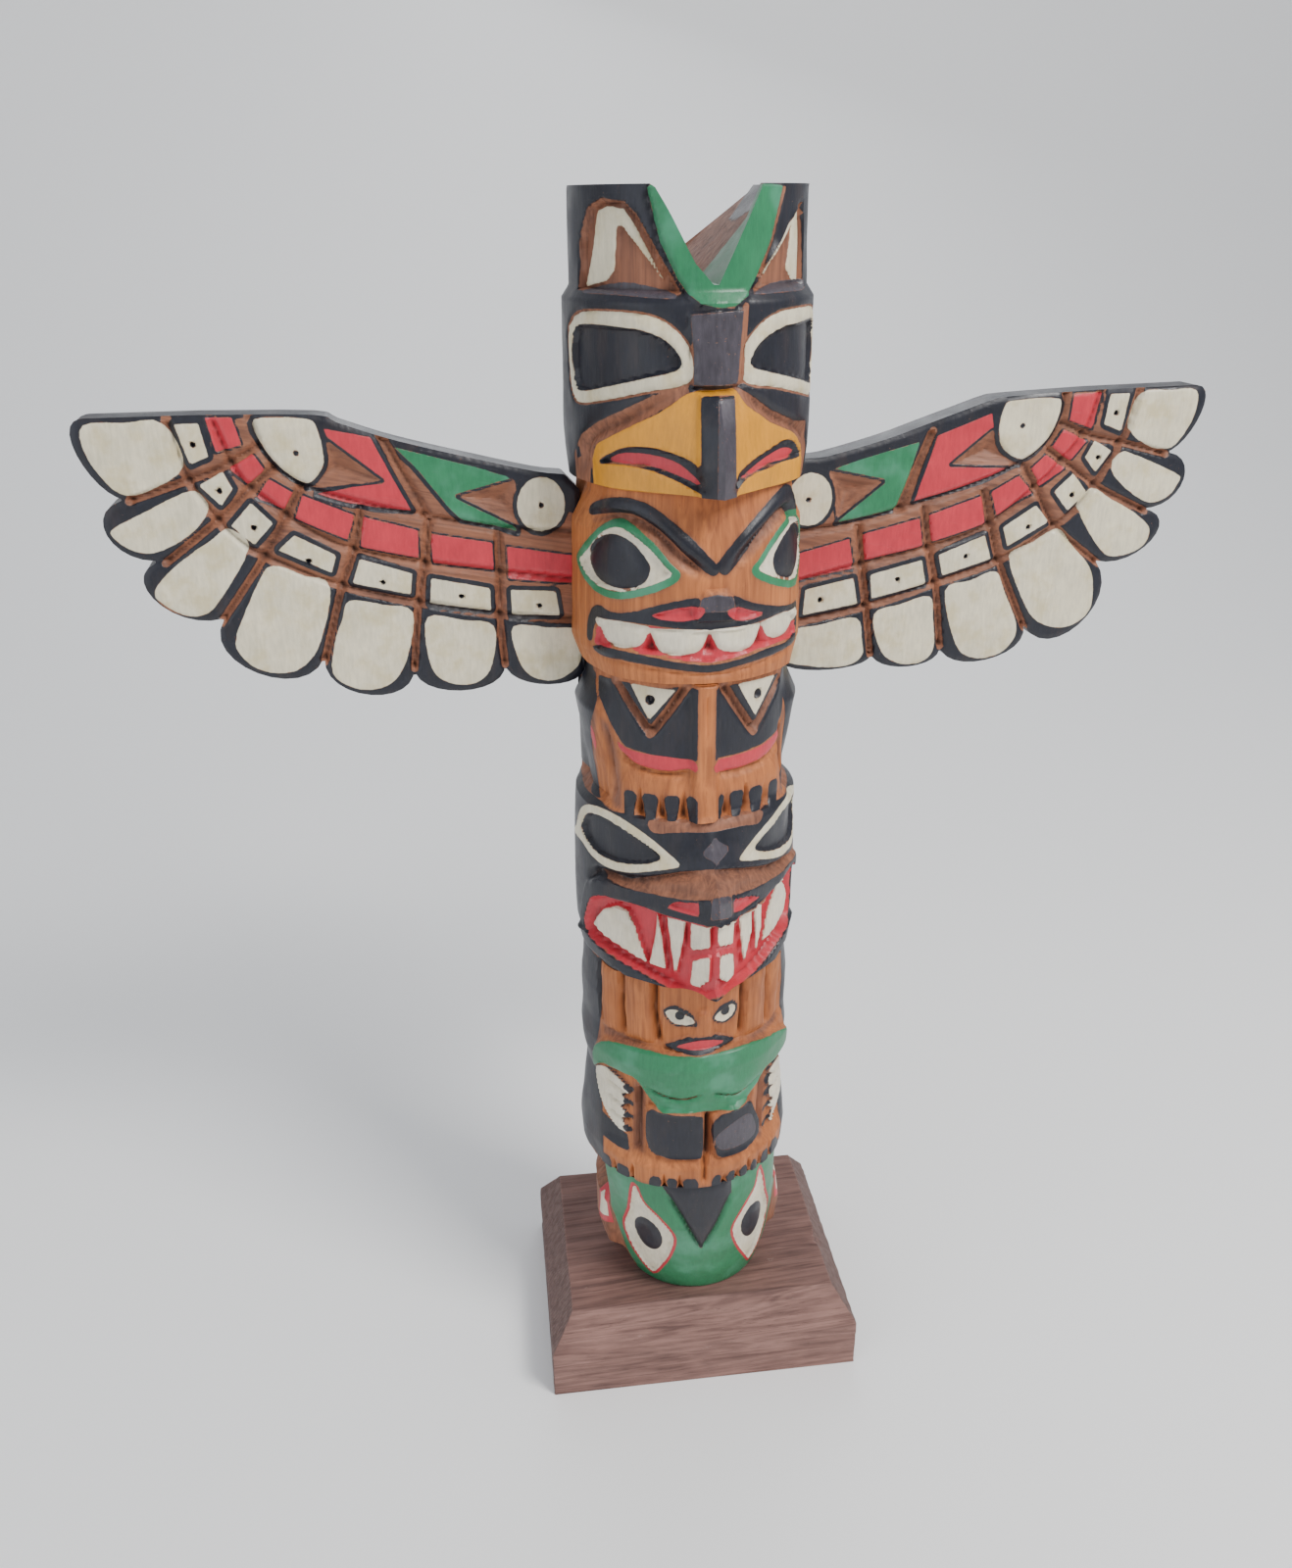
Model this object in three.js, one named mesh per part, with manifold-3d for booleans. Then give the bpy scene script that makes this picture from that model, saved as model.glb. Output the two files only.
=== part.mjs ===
// A carved and painted cedar totem pole on a bevelled block, with a spread pair of chip-carved wings.
// Millimetres, +Z up, the faces look along -Y. Heights are measured from the table.

import * as THREE from 'three';
import { mergeVertices } from 'three/addons/utils/BufferGeometryUtils.js';
import Module from 'manifold-3d';

const wasm = await Module();
wasm.setup();

// Driving dimensions
const GAP = 0.3;
const PLINTH = { width: 132, depth: 103, height: 38, wall: 22.8, bevel: 9.6, x: 5.5, y: 10.2, turn: -3.7 };
const GIRTH = 41; // arc lengths round the pole are laid out on this radius
const POLE_TOP = 470;
const NOTCH = { front: 15.5, back: 34, bottom: 443, backBottom: 445, edge: 36 }; // half widths at the top
const LEAN = { x: 5, y: 4 }; // how far the foot of the log stands off the axis of the rest
const WING = { root: 36, front: 4, thickness: 12, bottom: 303, top: 386 };
const GROOVE_LIFT = 1;

// Angles round the pole, in degrees from the front, where front, flank and back run into each other
const TURN = { front: 50, flank: 66, flankEnd: 100, back: 118, headFront: 66, headFlank: 78 };
const FACETS = { front: 13, back: 28, until: 104 }; // widths of the log's flats, in degrees

// Stations up the log: height, radius at the front, at the flanks and at the back,
// and the reach of a snout or beak on the centre line where there is one.
const HEAD_TOP = 107;
const STATIONS = [
  // green head at the foot, drawn in where it meets the block, with a fin standing off each flank
  { z: PLINTH.height + GAP, front: 30, flank: 29, back: 34 },
  { z: 49, front: 33.4, flank: 31, back: 36.5 },
  { z: 52, front: 34.2, flank: 38.5, back: 38 },
  { z: 78, front: 38, flank: 39, back: 40.5 },
  { z: 84, front: 38.6, flank: 32.5, back: 40.5 },
  { z: HEAD_TOP, front: 39.6, flank: 35, back: 40.5 },
  // feet of the crouched figure
  { z: 108, front: 42.5, flank: 42, back: 40.5 },
  // shins, knees and hands
  { z: 123.5, front: 39.6, flank: 42, back: 40.5 },
  { z: 148, front: 39.5, flank: 39, back: 40.5 },
  // arms
  { z: 160, front: 41.6, flank: 41.4, back: 40.5 },
  { z: 171, front: 41, flank: 40.8, back: 40.5 },
  // small face, tucked under the jaw above it
  { z: 173.5, front: 38.4, flank: 40.6, back: 40.5 },
  { z: 203, front: 39.8, flank: 39.2, back: 40.5 },
  // long-snouted head
  { z: 204, front: 41.5, flank: 40, back: 40.5, snout: 54 },
  { z: 213, front: 41.6, flank: 41.6, back: 40.5, snout: 56 },
  { z: 247, front: 41.6, flank: 41.8, back: 40.5, snout: 55 },
  { z: 262, front: 41.6, flank: 41.2, back: 40.5, snout: 43.5 },
  { z: 267, front: 41, flank: 40.8, back: 40.5 },
  // feet, legs and chest of the second figure, with a hunched lump behind each leg
  { z: 271.5, front: 38.6, flank: 35.2, back: 40.5 },
  { z: 280, front: 38.2, flank: 36, back: 40.5 },
  { z: 285, front: 37, flank: 37, back: 40.5 },
  { z: 304, front: 37, flank: 40.2, back: 40.5 },
  { z: 318.6, front: 37, flank: 35.4, back: 40.5 },
  // its broad face
  { z: 319.6, front: 39.8, flank: 38.2, back: 40.5 },
  { z: 327, front: 40.8, flank: 40.4, back: 40.5 },
  { z: 368, front: 40.2, flank: 39.2, back: 40.5 },
  { z: 378, front: 38.8, flank: 34, back: 40 },
  { z: 382, front: 38.4, flank: 33.6, back: 40 },
  // thunderbird head and beak
  { z: 383, front: 40.3, flank: 39.6, back: 40, snout: 52 },
  { z: 392, front: 40.6, flank: 40.6, back: 40, snout: 52.4 },
  { z: 415, front: 40.8, flank: 40.6, back: 40, snout: 42 },
  { z: 438, front: 40.6, flank: 40.4, back: 40 },
  { z: 441.5, front: 38, flank: 38, back: 39 },
  { z: POLE_TOP, front: 37.8, flank: 37.6, back: 38.5 },
];

// Small geometry tools ---------------------------------------------------------------------------

// Fresh solid from a closed geometry, its shared vertices merged.
function solid(geometry) {
  const bare = geometry.clone();
  bare.deleteAttribute('normal');
  bare.deleteAttribute('uv');
  const merged = mergeVertices(bare, 1e-4);
  const vertProperties = new Float32Array(merged.attributes.position.array);
  const triVerts = new Uint32Array(merged.index.array);
  return new wasm.Manifold(new wasm.Mesh({ numProp: 3, vertProperties, triVerts }));
}

function geometryOf(manifold) {
  const mesh = manifold.getMesh();
  const geometry = new THREE.BufferGeometry();
  geometry.setAttribute('position', new THREE.BufferAttribute(new Float32Array(mesh.vertProperties), 3));
  geometry.setIndex(new THREE.BufferAttribute(new Uint32Array(mesh.triVerts), 1));
  return geometry;
}

// Closed skin over rings of equal length, each ring counter-clockwise seen from its far end.
function loft(rings) {
  const count = rings[0].length;
  const positions = rings.flat().flatMap((p) => [p.x, p.y, p.z]);
  const index = [];
  for (let row = 0; row + 1 < rings.length; row += 1) {
    for (let i = 0; i < count; i += 1) {
      const a = row * count + i;
      const b = row * count + ((i + 1) % count);
      index.push(a, b, a + count, b, b + count, a + count);
    }
  }
  const last = (rings.length - 1) * count;
  for (let i = 1; i + 1 < count; i += 1) {
    index.push(0, i + 1, i);
    index.push(last, last + i, last + i + 1);
  }
  const geometry = new THREE.BufferGeometry();
  geometry.setAttribute('position', new THREE.BufferAttribute(new Float32Array(positions), 3));
  geometry.setIndex(index);
  return geometry;
}

const smooth = (value, low, high) => THREE.MathUtils.smoothstep(value, low, high);
const mix = THREE.MathUtils.lerp;

// Radius of a station in a direction, in radians from the front.
function stationRadius(station, angle) {
  const degrees = Math.abs(THREE.MathUtils.radToDeg(angle));
  const low = station.z <= HEAD_TOP;
  const toFlank = smooth(degrees, low ? TURN.headFront : TURN.front, low ? TURN.headFlank : TURN.flank);
  const toBack = smooth(degrees, TURN.flankEnd, TURN.back);
  const round = mix(mix(station.front, station.flank, toFlank), station.back, toBack);
  if (!station.snout) return round;
  const tangent = Math.acos(station.front / station.snout);
  const away = Math.abs(angle);
  return away < tangent ? station.front / Math.cos(tangent - away) : round;
}

// Radius of the log at any height and direction.
function logRadius(angle, z) {
  const next = STATIONS.findIndex((station) => station.z >= z);
  if (next <= 0) return stationRadius(next ? STATIONS.at(-1) : STATIONS[0], angle);
  const [below, above] = [STATIONS[next - 1], STATIONS[next]];
  const share = (z - below.z) / (above.z - below.z);
  return mix(stationRadius(below, angle), stationRadius(above, angle), share);
}

// Directions of the log's corners: close together over the carved front and flanks, wide at the back.
const CORNERS = [];
for (let turn = 0; turn < 180; turn += turn < FACETS.until ? FACETS.front : FACETS.back) {
  CORNERS.push(THREE.MathUtils.degToRad(turn));
}
CORNERS.push(...CORNERS.slice(1).map((angle) => -angle), Math.PI);
CORNERS.sort((a, b) => a - b);

// Point in a direction from the log's own centre, which moves off the axis towards the foot.
function onPole(angle, radius, z) {
  const lean = Math.max(0, (HEAD_TOP - z) / (HEAD_TOP - PLINTH.height));
  const [x, y] = [LEAN.x * lean, LEAN.y * lean];
  return new THREE.Vector3(x + radius * Math.sin(angle), y - radius * Math.cos(angle), z);
}
const outwardAt = (angle) => new THREE.Vector3(Math.sin(angle), -Math.cos(angle), 0);
const skin = (angle, z) => onPole(angle, logRadius(angle, z), z);

// The log with its skin moved in by an inset, for the floors of pockets and the tops of raised shapes.
const bodies = new Map();
function body(inset) {
  if (!bodies.has(inset)) {
    const corner = (station, angle) => onPole(angle, stationRadius(station, angle) - inset, station.z);
    const rings = STATIONS.map((station) => CORNERS.map((angle) => corner(station, angle)));
    bodies.set(inset, solid(loft(rings)));
  }
  return bodies.get(inset);
}

// Outlines on the pole are [arc length from the figure's centre line, height] pairs.
const mirrored = (outline) => outline.map(([s, z]) => [-s, z]);
const shifted = (outline, centre) => outline.map(([s, z]) => [s + centre, z]);

// Smooth line through a few points, open or closed.
function smoothLine(points, divisions, closed = false) {
  const curve = new THREE.CatmullRomCurve3(points.map(([s, z]) => new THREE.Vector3(s, z, 0)), closed);
  const line = curve.getPoints(divisions).map((p) => [p.x, p.y]);
  return closed ? line.slice(0, -1) : line;
}

// Pointed leaf between two tips, with its upper and lower edges bowed to the heights given.
function leaf([s0, z0], [s1, z1], top, bottom, divisions = 4) {
  const middle = (s0 + s1) / 2;
  const edge = (from, to, reach) => {
    const handle = new THREE.Vector2(middle, 2 * reach - (z0 + z1) / 2);
    const bow = new THREE.QuadraticBezierCurve(from, handle, to);
    return bow.getPoints(divisions).slice(0, -1).map((p) => [p.x, p.y]);
  };
  const [start, end] = [new THREE.Vector2(s0, z0), new THREE.Vector2(s1, z1)];
  return [...edge(start, end, bottom), ...edge(end, start, top)];
}

function ellipse(s, z, halfWidth, halfHeight, divisions = 8) {
  return Array.from({ length: divisions }, (_, i) => {
    const turn = (2 * Math.PI * i) / divisions;
    return [s + halfWidth * Math.cos(turn), z + halfHeight * Math.sin(turn)];
  });
}

// Prism over an outline on the pole, running straight out along the outline's own middle direction.
function prism(outline) {
  const angles = outline.map(([s]) => s / GIRTH);
  const middle = (Math.min(...angles) + Math.max(...angles)) / 2;
  const outward = outwardAt(middle);
  const along = new THREE.Vector3(Math.cos(middle), Math.sin(middle), 0);
  const flat = outline.map(([, z], i) => new THREE.Vector2(skin(angles[i], z).dot(along), z));
  const geometry = new THREE.ExtrudeGeometry(new THREE.Shape(flat), { depth: 50, bevelEnabled: false, curveSegments: 1 });
  const frame = new THREE.Matrix4().makeBasis(along, new THREE.Vector3(0, 0, 1), outward);
  geometry.translate(0, 0, 18);
  geometry.applyMatrix4(frame);
  return solid(geometry);
}

// V-section cutter along a line of points with outward normals, narrowing to a point at tapered ends.
function veeCutter(points, normals, width, depth, taper) {
  const rings = points.map((point, i) => {
    const before = points[Math.max(i - 1, 0)];
    const after = points[Math.min(i + 1, points.length - 1)];
    const side = new THREE.Vector3().crossVectors(after.clone().sub(before), normals[i]).normalize();
    const end = Math.min(i, points.length - 1 - i) / (points.length - 1);
    const size = taper ? mix(0.15, 1, smooth(end, 0, taper)) : 1;
    const half = (0.5 * width * size * (depth * size + GROOVE_LIFT)) / (depth * size);
    const top = point.clone().addScaledVector(normals[i], GROOVE_LIFT);
    return [
      top.clone().addScaledVector(side, half),
      point.clone().addScaledVector(normals[i], -depth * size),
      top.clone().addScaledVector(side, -half),
    ];
  });
  return solid(loft(rings));
}

// Carver of the pole: gathers cuts and additions, then makes them together.
function carver() {
  const cuts = [];
  const adds = [];
  const pocket = (outline, depth, ...islands) => {
    let cut = prism(outline).subtract(body(depth));
    islands.forEach((island) => {
      cut = cut.subtract(prism(island));
    });
    cuts.push(cut);
  };
  const raise = (outline, height) => adds.push(prism(outline).intersect(body(-height)));
  const groove = (line, width, depth, taper = 0.3) => {
    const points = line.map(([s, z]) => skin(s / GIRTH, z));
    const normals = line.map(([s]) => outwardAt(s / GIRTH));
    cuts.push(veeCutter(points, normals, width, depth, taper));
  };
  // the same work on both sides of a centre line
  const both = (centre, work) => {
    work((outline) => shifted(outline, centre));
    work((outline) => shifted(mirrored(outline), centre));
  };
  return { cuts, adds, pocket, raise, groove, both };
}

// Chip cuts between toes, each a narrow triangle open at the bottom.
function toeGaps({ pocket, both }, centre, positions, bottom, height, width, depth) {
  both(centre, (place) => positions.forEach((s) => {
    pocket(place([[s - width / 2, bottom], [s + width / 2, bottom], [s, bottom + height]]), depth);
  }));
}

// Figures, from the top down -----------------------------------------------------------------------

function thunderbird(carve) {
  const { pocket, raise, groove, both } = carve;
  both(0.3, (place) => {
    pocket(place([[-47, 442], [-11.5, 442], [-22, 459], [-28, 465], [-37, 466.5], [-43.5, 462], [-46.5, 453]]), 1.4);
    const eye = [[-53, 427], [-53, 414.5], [-49, 411.7], [-32, 414.3], [-13, 418.2], [-10.7, 421.5], [-16, 428], [-26, 430.8], [-42, 431.5], [-50, 430.6]];
    pocket(place(eye), 1.3);
    groove(place(smoothLine([[-8, 416.5], [-24, 407.5], [-42, 399], [-51, 389]], 5)), 6, 2.2, 0.2);
    groove(place(smoothLine([[-39, 390], [-28, 393.6], [-17, 393.6], [-8, 390], [-4, 386]], 5)), 5, 2, 0.3);
  });
  raise(shifted([[-3.8, 383], [3.8, 383], [4.2, 413], [-4.2, 413]], 0.3), 1.4);
  raise(shifted([[-7, 415.5], [7, 415.5], [6.6, 434], [-6.6, 434]], 0.3), 1);
}

function broadFace(carve) {
  const { pocket, raise, groove, both } = carve;
  const centre = 1.5;
  both(centre, (place) => {
    groove(place(smoothLine([[-43, 372.5], [-31, 376.4], [-21, 373.5], [-11, 366], [-2.5, 358.5]], 5)), 6, 2.4, 0.25);
    pocket(place(leaf([-56, 356.5], [-13, 356.5], 371, 348.6)), 1.3, place(ellipse(-35, 359, 12.6, 7.6)));
  });
  raise(shifted([[-5, 341], [5, 341], [5.4, 347], [3, 350.4], [-3, 350.4], [-5.4, 347]], centre), 1.6);
  const mouth = [[-44, 330.6], [-22, 330], [-1, 328], [20, 330], [42, 330.6], [35, 339.6], [0, 338.8], [-37, 339.8]];
  pocket(mouth, 1.3);
  [-21, -1, 18.8].forEach((s) => pocket([[s - 4.4, 330.4], [s + 4.4, 330.4], [s, 338.4]], 3));
}

function chestAndLegs(carve) {
  const { raise, groove, both, pocket } = carve;
  const centre = -2;
  both(centre, (place) => {
    groove(place([[-32, 317.5], [-25.5, 309], [-18.6, 300]]), 4.2, 2, 0.1);
    groove(place([[-18.6, 300], [-12.5, 309], [-6.5, 318]]), 4.2, 2, 0.1);
    groove(place(smoothLine([[-32, 294.5], [-22, 289], [-12, 287.4], [-3.4, 288]], 4)), 4.6, 1.5, 0.15);
    groove(place([[-40, 301], [-35.5, 289], [-33.5, 275]]), 4, 2, 0.2);
    pocket(place(ellipse(-18.8, 312.2, 1.8, 1.8, 6)), 1.6);
  });
  raise(shifted([[-2.8, 272], [2.8, 272], [2.2, 318.4], [-2.2, 318.4]], centre), 2);
  toeGaps(carve, centre, [6.6, 14.6, 22.6], 270.4, 10.6, 4.4, 2.4);
}

function snoutHead(carve) {
  const { pocket, raise, groove, both } = carve;
  const centre = 0.3;
  both(centre, (place) => {
    pocket(place(leaf([-58, 256], [-17, 256], 265.2, 248.6, 4)), 1.3);
    groove(place(smoothLine([[-52, 233], [-43, 241], [-28, 243.6], [-14, 249], [0, 251.5]], 6)), 6, 2, 0.2);
    pocket(place([[-15, 241.6], [-5, 238.4], [-5, 243.8], [-9, 244.6]]), 1.6);
    // mouth: open wedge with the big fang and two smaller teeth left standing
    const mouth = [[-52, 220], [-49, 213.4], [-18, 208.2], [0, 206.4], [0, 236.8], [-38, 235.6], [-47, 231]];
    const fang = [[-48.5, 217.4], [-24, 211.6], [-31, 229.6], [-37, 230.2]];
    const eyeTooth = [[-21, 212], [-16, 210.6], [-14.4, 238], [-18, 238]];
    const incisor = [[-12, 222], [-2.5, 221], [-2, 238], [-13, 238]];
    pocket(place(mouth), 2.8, place(fang), place(eyeTooth), place(incisor));
  });
  raise(shifted([[-4, 237.6], [4, 237.6], [4, 244], [2.5, 245.6], [-2.5, 245.6], [-4, 244]], centre), 1.5);
}

function crouchedFigure(carve) {
  const { pocket, raise, groove, both } = carve;
  const face = -3;
  // face between two upright cuts, the wood beside it rounded into locks
  both(face + 0.8, (place) => {
    groove(place([[-16.4, 176], [-15.6, 190], [-14.6, 203]]), 4, 2.4, 0.1);
    pocket(place(leaf([-14, 188.4], [-2.4, 187.6], 193, 183, 3)), 1.2);
  });
  raise(shifted([[-3, 180.5], [3, 180.5], [1.2, 186], [-1.2, 186]], face), 1.6);
  raise(shifted(leaf([-12.5, 175.6], [12.5, 175.6], 179.4, 172.6, 3), face), 1.2);
  // arms, hands with chip-cut fingers, knees and feet
  const middle = -0.6;
  both(middle, (place) => {
    groove(place(smoothLine([[-22, 155.5], [-15, 152.6], [-8, 151.8], [-1, 153.6]], 4)), 2.6, 1.1, 0.3);
    groove(place(smoothLine([[-50, 157.4], [-40, 159.4], [-29, 158.6], [-23, 154], [-19, 148]], 5)), 3.2, 1.6, 0.15);
    raise(place([[-48, 151], [-43, 156.4], [-30, 154.4], [-29.4, 131.4], [-37, 131], [-43.4, 137.6]]), 1.4);
    [149.6, 143.2, 136.8].forEach((z) => pocket(place([[-40.5, z], [-27.6, z - 3.2], [-27.6, z]]), 1.2));
    raise(place([[-1.6, 123.4], [-1.6, 141.6], [-20, 143.4], [-22.2, 128], [-18.6, 123.4]]), 2.2);
    groove(place([[-25.6, 155], [-26, 138], [-26, 120]]), 3.4, 1.6, 0.1);
  });
  groove([[0.4, 143], [0.6, 130], [0.8, 111]], 3.4, 2, 0.1);
  toeGaps(carve, 0.8, [7.2, 13.4, 19.6, 36], 107.6, 10.6, 3.6, 2.2);
}

function footHead(carve) {
  const { pocket, groove, both } = carve;
  both(-0.5, (place) => {
    const eye = [[-30.5, 101], [-35, 85], [-40.4, 72], [-40, 61], [-31, 45], [-23, 54], [-15, 73], [-17.4, 81], [-27, 93]];
    pocket(place(eye), 1.2);
  });
  both(-2.8, (place) => groove(place([[-15.4, 104], [-12.6, 98], [-7, 83.6], [-1, 67.6]]), 3.8, 1.8, 0.15));
}

// V notch cut down from the top, front to back, its walls opening out towards the back.
function topNotch() {
  const section = (y) => {
    const share = (y + NOTCH.edge) / (2 * NOTCH.edge);
    const bottom = mix(NOTCH.bottom, NOTCH.backBottom, share);
    const top = POLE_TOP + 10;
    const half = mix(NOTCH.front, NOTCH.back, share) * ((top - bottom) / (POLE_TOP - bottom));
    return [[-0.8, bottom], [0.8, bottom], [half, top], [-half, top]].map(([x, z]) => new THREE.Vector3(x, y, z));
  };
  return solid(loft([section(GIRTH + 5), section(0), section(-GIRTH - 5)]));
}

// Shallow housing in a flank that takes the root of a wing with a hair of clearance.
function wingHousing(sign) {
  const width = GIRTH + 10 - WING.root + GAP;
  const box = new THREE.BoxGeometry(width, WING.thickness + 2 * GAP, WING.top - WING.bottom + 2 * GAP);
  box.translate(
    sign * (WING.root - GAP + width / 2),
    WING.front + WING.thickness / 2,
    (WING.top + WING.bottom) / 2,
  );
  return solid(box);
}

function makePole() {
  const carve = carver();
  [thunderbird, broadFace, chestAndLegs, snoutHead, crouchedFigure, footHead].forEach((figure) => figure(carve));
  let pole = body(0);
  carve.adds.forEach((add) => {
    pole = pole.add(add);
  });
  [...carve.cuts, topNotch(), wingHousing(-1), wingHousing(1)].forEach((cut) => {
    pole = pole.subtract(cut);
  });
  return geometryOf(pole);
}

// Wings --------------------------------------------------------------------------------------------
// Points on a wing are [distance from the pole's centre, height]. The two were cut by eye, so each has
// its own outline and shoulder cells on a shared set of rows.

const LEFT = {
  sign: -1,
  topEdge: [[WING.root, 376.5], [41, 381.8], [51, 383.2], [72, 388.5], [100, 396.3], [121, 404]],
  notches: [[191, 405.3], [179.4, 380], [171.8, 359.8], [157.2, 338.9], [126.2, 323], [96.1, 318], [64.4, 316.8], [WING.root, 315]],
  tips: [[193, 391], [189.6, 368.5], [178.8, 347], [149, 318.8], [112, 308], [80.5, 307.2], [49, 307.2]],
  strip: [[88.5, 369.5], [101, 398]],
  chips: [[[101.6, 382], [125.4, 380.8], [116.6, 395]], [[77, 376.5], [57, 379.6], [56, 364]]],
  dots: [[128, 391.7], [49.2, 371.8]],
};
const RIGHT = {
  sign: 1,
  topEdge: [[WING.root, 383.4], [44, 383.6], [52, 384], [73, 389], [102, 398.2], [118, 402]],
  notches: [[189.7, 403.7], [178.6, 380.2], [175, 359.8], [159.3, 340.9], [132.9, 317.8], [99.4, 312.6], [71.9, 311.6], [WING.root, 311]],
  tips: [[192, 390.6], [190.6, 370], [181.2, 347.4], [156, 316], [119, 304.4], [88, 304], [57, 305]],
  strip: [[79, 365], [89.4, 391]],
  chips: [[[97, 379.6], [123.6, 378.2], [110.4, 392.6]], [[72.2, 374.8], [52.4, 379], [56, 362.6]]],
  dots: [[123.7, 391.5], [45.2, 369]],
};

// Lines cut between the cells: rows that follow the wing, and rays that run out to its notches.
const ROWS = {
  shoulder: [[38, 361], [60, 362], [80, 366], [100, 371.6], [120, 378.4], [130, 384.4], [136.5, 392], [140, 406]],
  coverts: [[38, 344.5], [62, 347], [88, 352], [112, 358.6], [130, 369], [138, 376.5], [147, 384], [152, 392], [154, 406]],
  feathers: [[38, 329.5], [62, 332], [90, 338], [118, 346], [140, 356.6], [150, 363.6], [158, 373], [163, 385], [166, 406]],
};
const RAYS = [
  [[138.5, 395], [150.5, 389], [162, 384.6]],
  [[135, 389], [144.5, 380], [154.5, 370.6]],
  [[127.6, 382.6], [134.5, 372.6], [143.5, 358.6]],
  [[109.5, 374.6], [114, 359], [119.5, 346]],
  [[87, 368], [90.6, 352], [94, 338]],
  [[63, 362.4], [64.6, 347], [66, 332]],
];

// Rounded end of one feather, from one notch to the next round the tip.
function feather(from, tip, to) {
  const [a, b, c] = [from, tip, to].map(([x, z]) => new THREE.Vector2(x, z));
  const chord = c.clone().sub(a);
  const out = b.clone().sub(a.clone().add(c).multiplyScalar(0.5)).multiplyScalar(4 / 3);
  const curve = new THREE.CubicBezierCurve(
    a,
    a.clone().add(out).addScaledVector(chord, -0.06),
    c.clone().add(out).addScaledVector(chord, 0.06),
    c,
  );
  return curve.getPoints(5).slice(0, -1).map((p) => [p.x, p.y]);
}

// A line carried on past its last point.
function beyond(line, extra) {
  const [[x0, z0], [x1, z1]] = line.slice(-2);
  const scale = extra / Math.hypot(x1 - x0, z1 - z0);
  return [...line, [x1 + (x1 - x0) * scale, z1 + (z1 - z0) * scale]];
}

function wingOutline({ topEdge, notches, tips }) {
  const edge = tips.flatMap((tip, i) => feather(notches[i], tip, notches[i + 1]));
  return [...topEdge, ...edge, notches.at(-1)];
}

// Three-sided chip, deepest at its middle.
function chipCutter(corners, outward, depth) {
  const middle = corners.reduce((sum, p) => sum.add(p), new THREE.Vector3()).multiplyScalar(1 / 3);
  const apex = middle.clone().addScaledVector(outward, -depth);
  const rim = corners.map((p) => p.clone().sub(middle).multiplyScalar(1 + GROOVE_LIFT / depth).add(middle));
  const [a, b, c] = rim.map((p) => p.addScaledVector(outward, GROOVE_LIFT));
  return solid(new THREE.BufferGeometry().setFromPoints([a, b, c, apex, b, a, apex, c, b, apex, a, c]));
}

function makeWing(side) {
  const outward = new THREE.Vector3(0, -1, 0);
  const at = ([a, z]) => new THREE.Vector3(side.sign * a, WING.front, z);
  const outline = wingOutline(side).map(([a, z]) => new THREE.Vector2(side.sign * a, z));
  const board = new THREE.ExtrudeGeometry(new THREE.Shape(outline), { depth: WING.thickness, bevelEnabled: false });
  board.rotateX(Math.PI / 2);
  board.translate(0, WING.front + WING.thickness, 0);
  const cuts = [];
  const groove = (line, width, depth) => {
    const points = line.map(at);
    cuts.push(veeCutter(points, points.map(() => outward), width, depth, 0));
  };
  Object.values(ROWS).forEach((row) => groove(smoothLine(row, 6), 4, 1.7));
  RAYS.forEach((ray, i) => groove(beyond([...ray, side.notches[i + 1]], 3), 4, 1.7));
  groove(side.strip, 5, 1.9);
  side.chips.forEach((chip) => {
    const corners = chip.map(at);
    cuts.push(chipCutter(side.sign > 0 ? corners : corners.reverse(), outward, 2.6));
  });
  side.dots.forEach((dot) => {
    const drill = new THREE.CylinderGeometry(1.4, 1.4, 4, 6);
    const { x, y, z } = at(dot);
    drill.translate(x, y, z);
    cuts.push(solid(drill));
  });
  return geometryOf(cuts.reduce((wing, cut) => wing.subtract(cut), solid(board)));
}

// Plinth -------------------------------------------------------------------------------------------

function makePlinth() {
  const rectangle = (inset, z) => {
    const [w, d] = [PLINTH.width / 2 - inset, PLINTH.depth / 2 - inset];
    return [[-w, -d], [w, -d], [w, d], [-w, d]].map(([x, y]) => new THREE.Vector3(x, y, z));
  };
  const block = loft([rectangle(0, 0), rectangle(0, PLINTH.wall), rectangle(PLINTH.bevel, PLINTH.height)]);
  block.rotateZ(THREE.MathUtils.degToRad(PLINTH.turn));
  block.translate(PLINTH.x, PLINTH.y, 0);
  return geometryOf(solid(block));
}

// Assembly -----------------------------------------------------------------------------------------

const paint = (color, roughness) => new THREE.MeshStandardMaterial({ color, roughness, metalness: 0 });

const pieces = {
  plinth: new THREE.Mesh(makePlinth(), paint(0x8c6964, 0.85)),
  pole: new THREE.Mesh(makePole(), paint(0xa0603a, 0.6)),
  wing_left: new THREE.Mesh(makeWing(LEFT), paint(0xd8d0b8, 0.6)),
  wing_right: new THREE.Mesh(makeWing(RIGHT), paint(0xd8d0b8, 0.6)),
};

const totem = new THREE.Group();
Object.entries(pieces).forEach(([name, mesh]) => {
  mesh.name = name;
  totem.add(mesh);
});

// The origin is the middle of the footprint of the whole object, on the table.
const box = new THREE.Box3().setFromObject(totem);
const middle = box.getCenter(new THREE.Vector3());
totem.children.forEach((mesh) => mesh.position.set(-middle.x, -middle.y, -box.min.z));

export default totem;
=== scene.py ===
"""Carved and painted totem pole: the finished pieces, their paint and wood, and the studio."""

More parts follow.
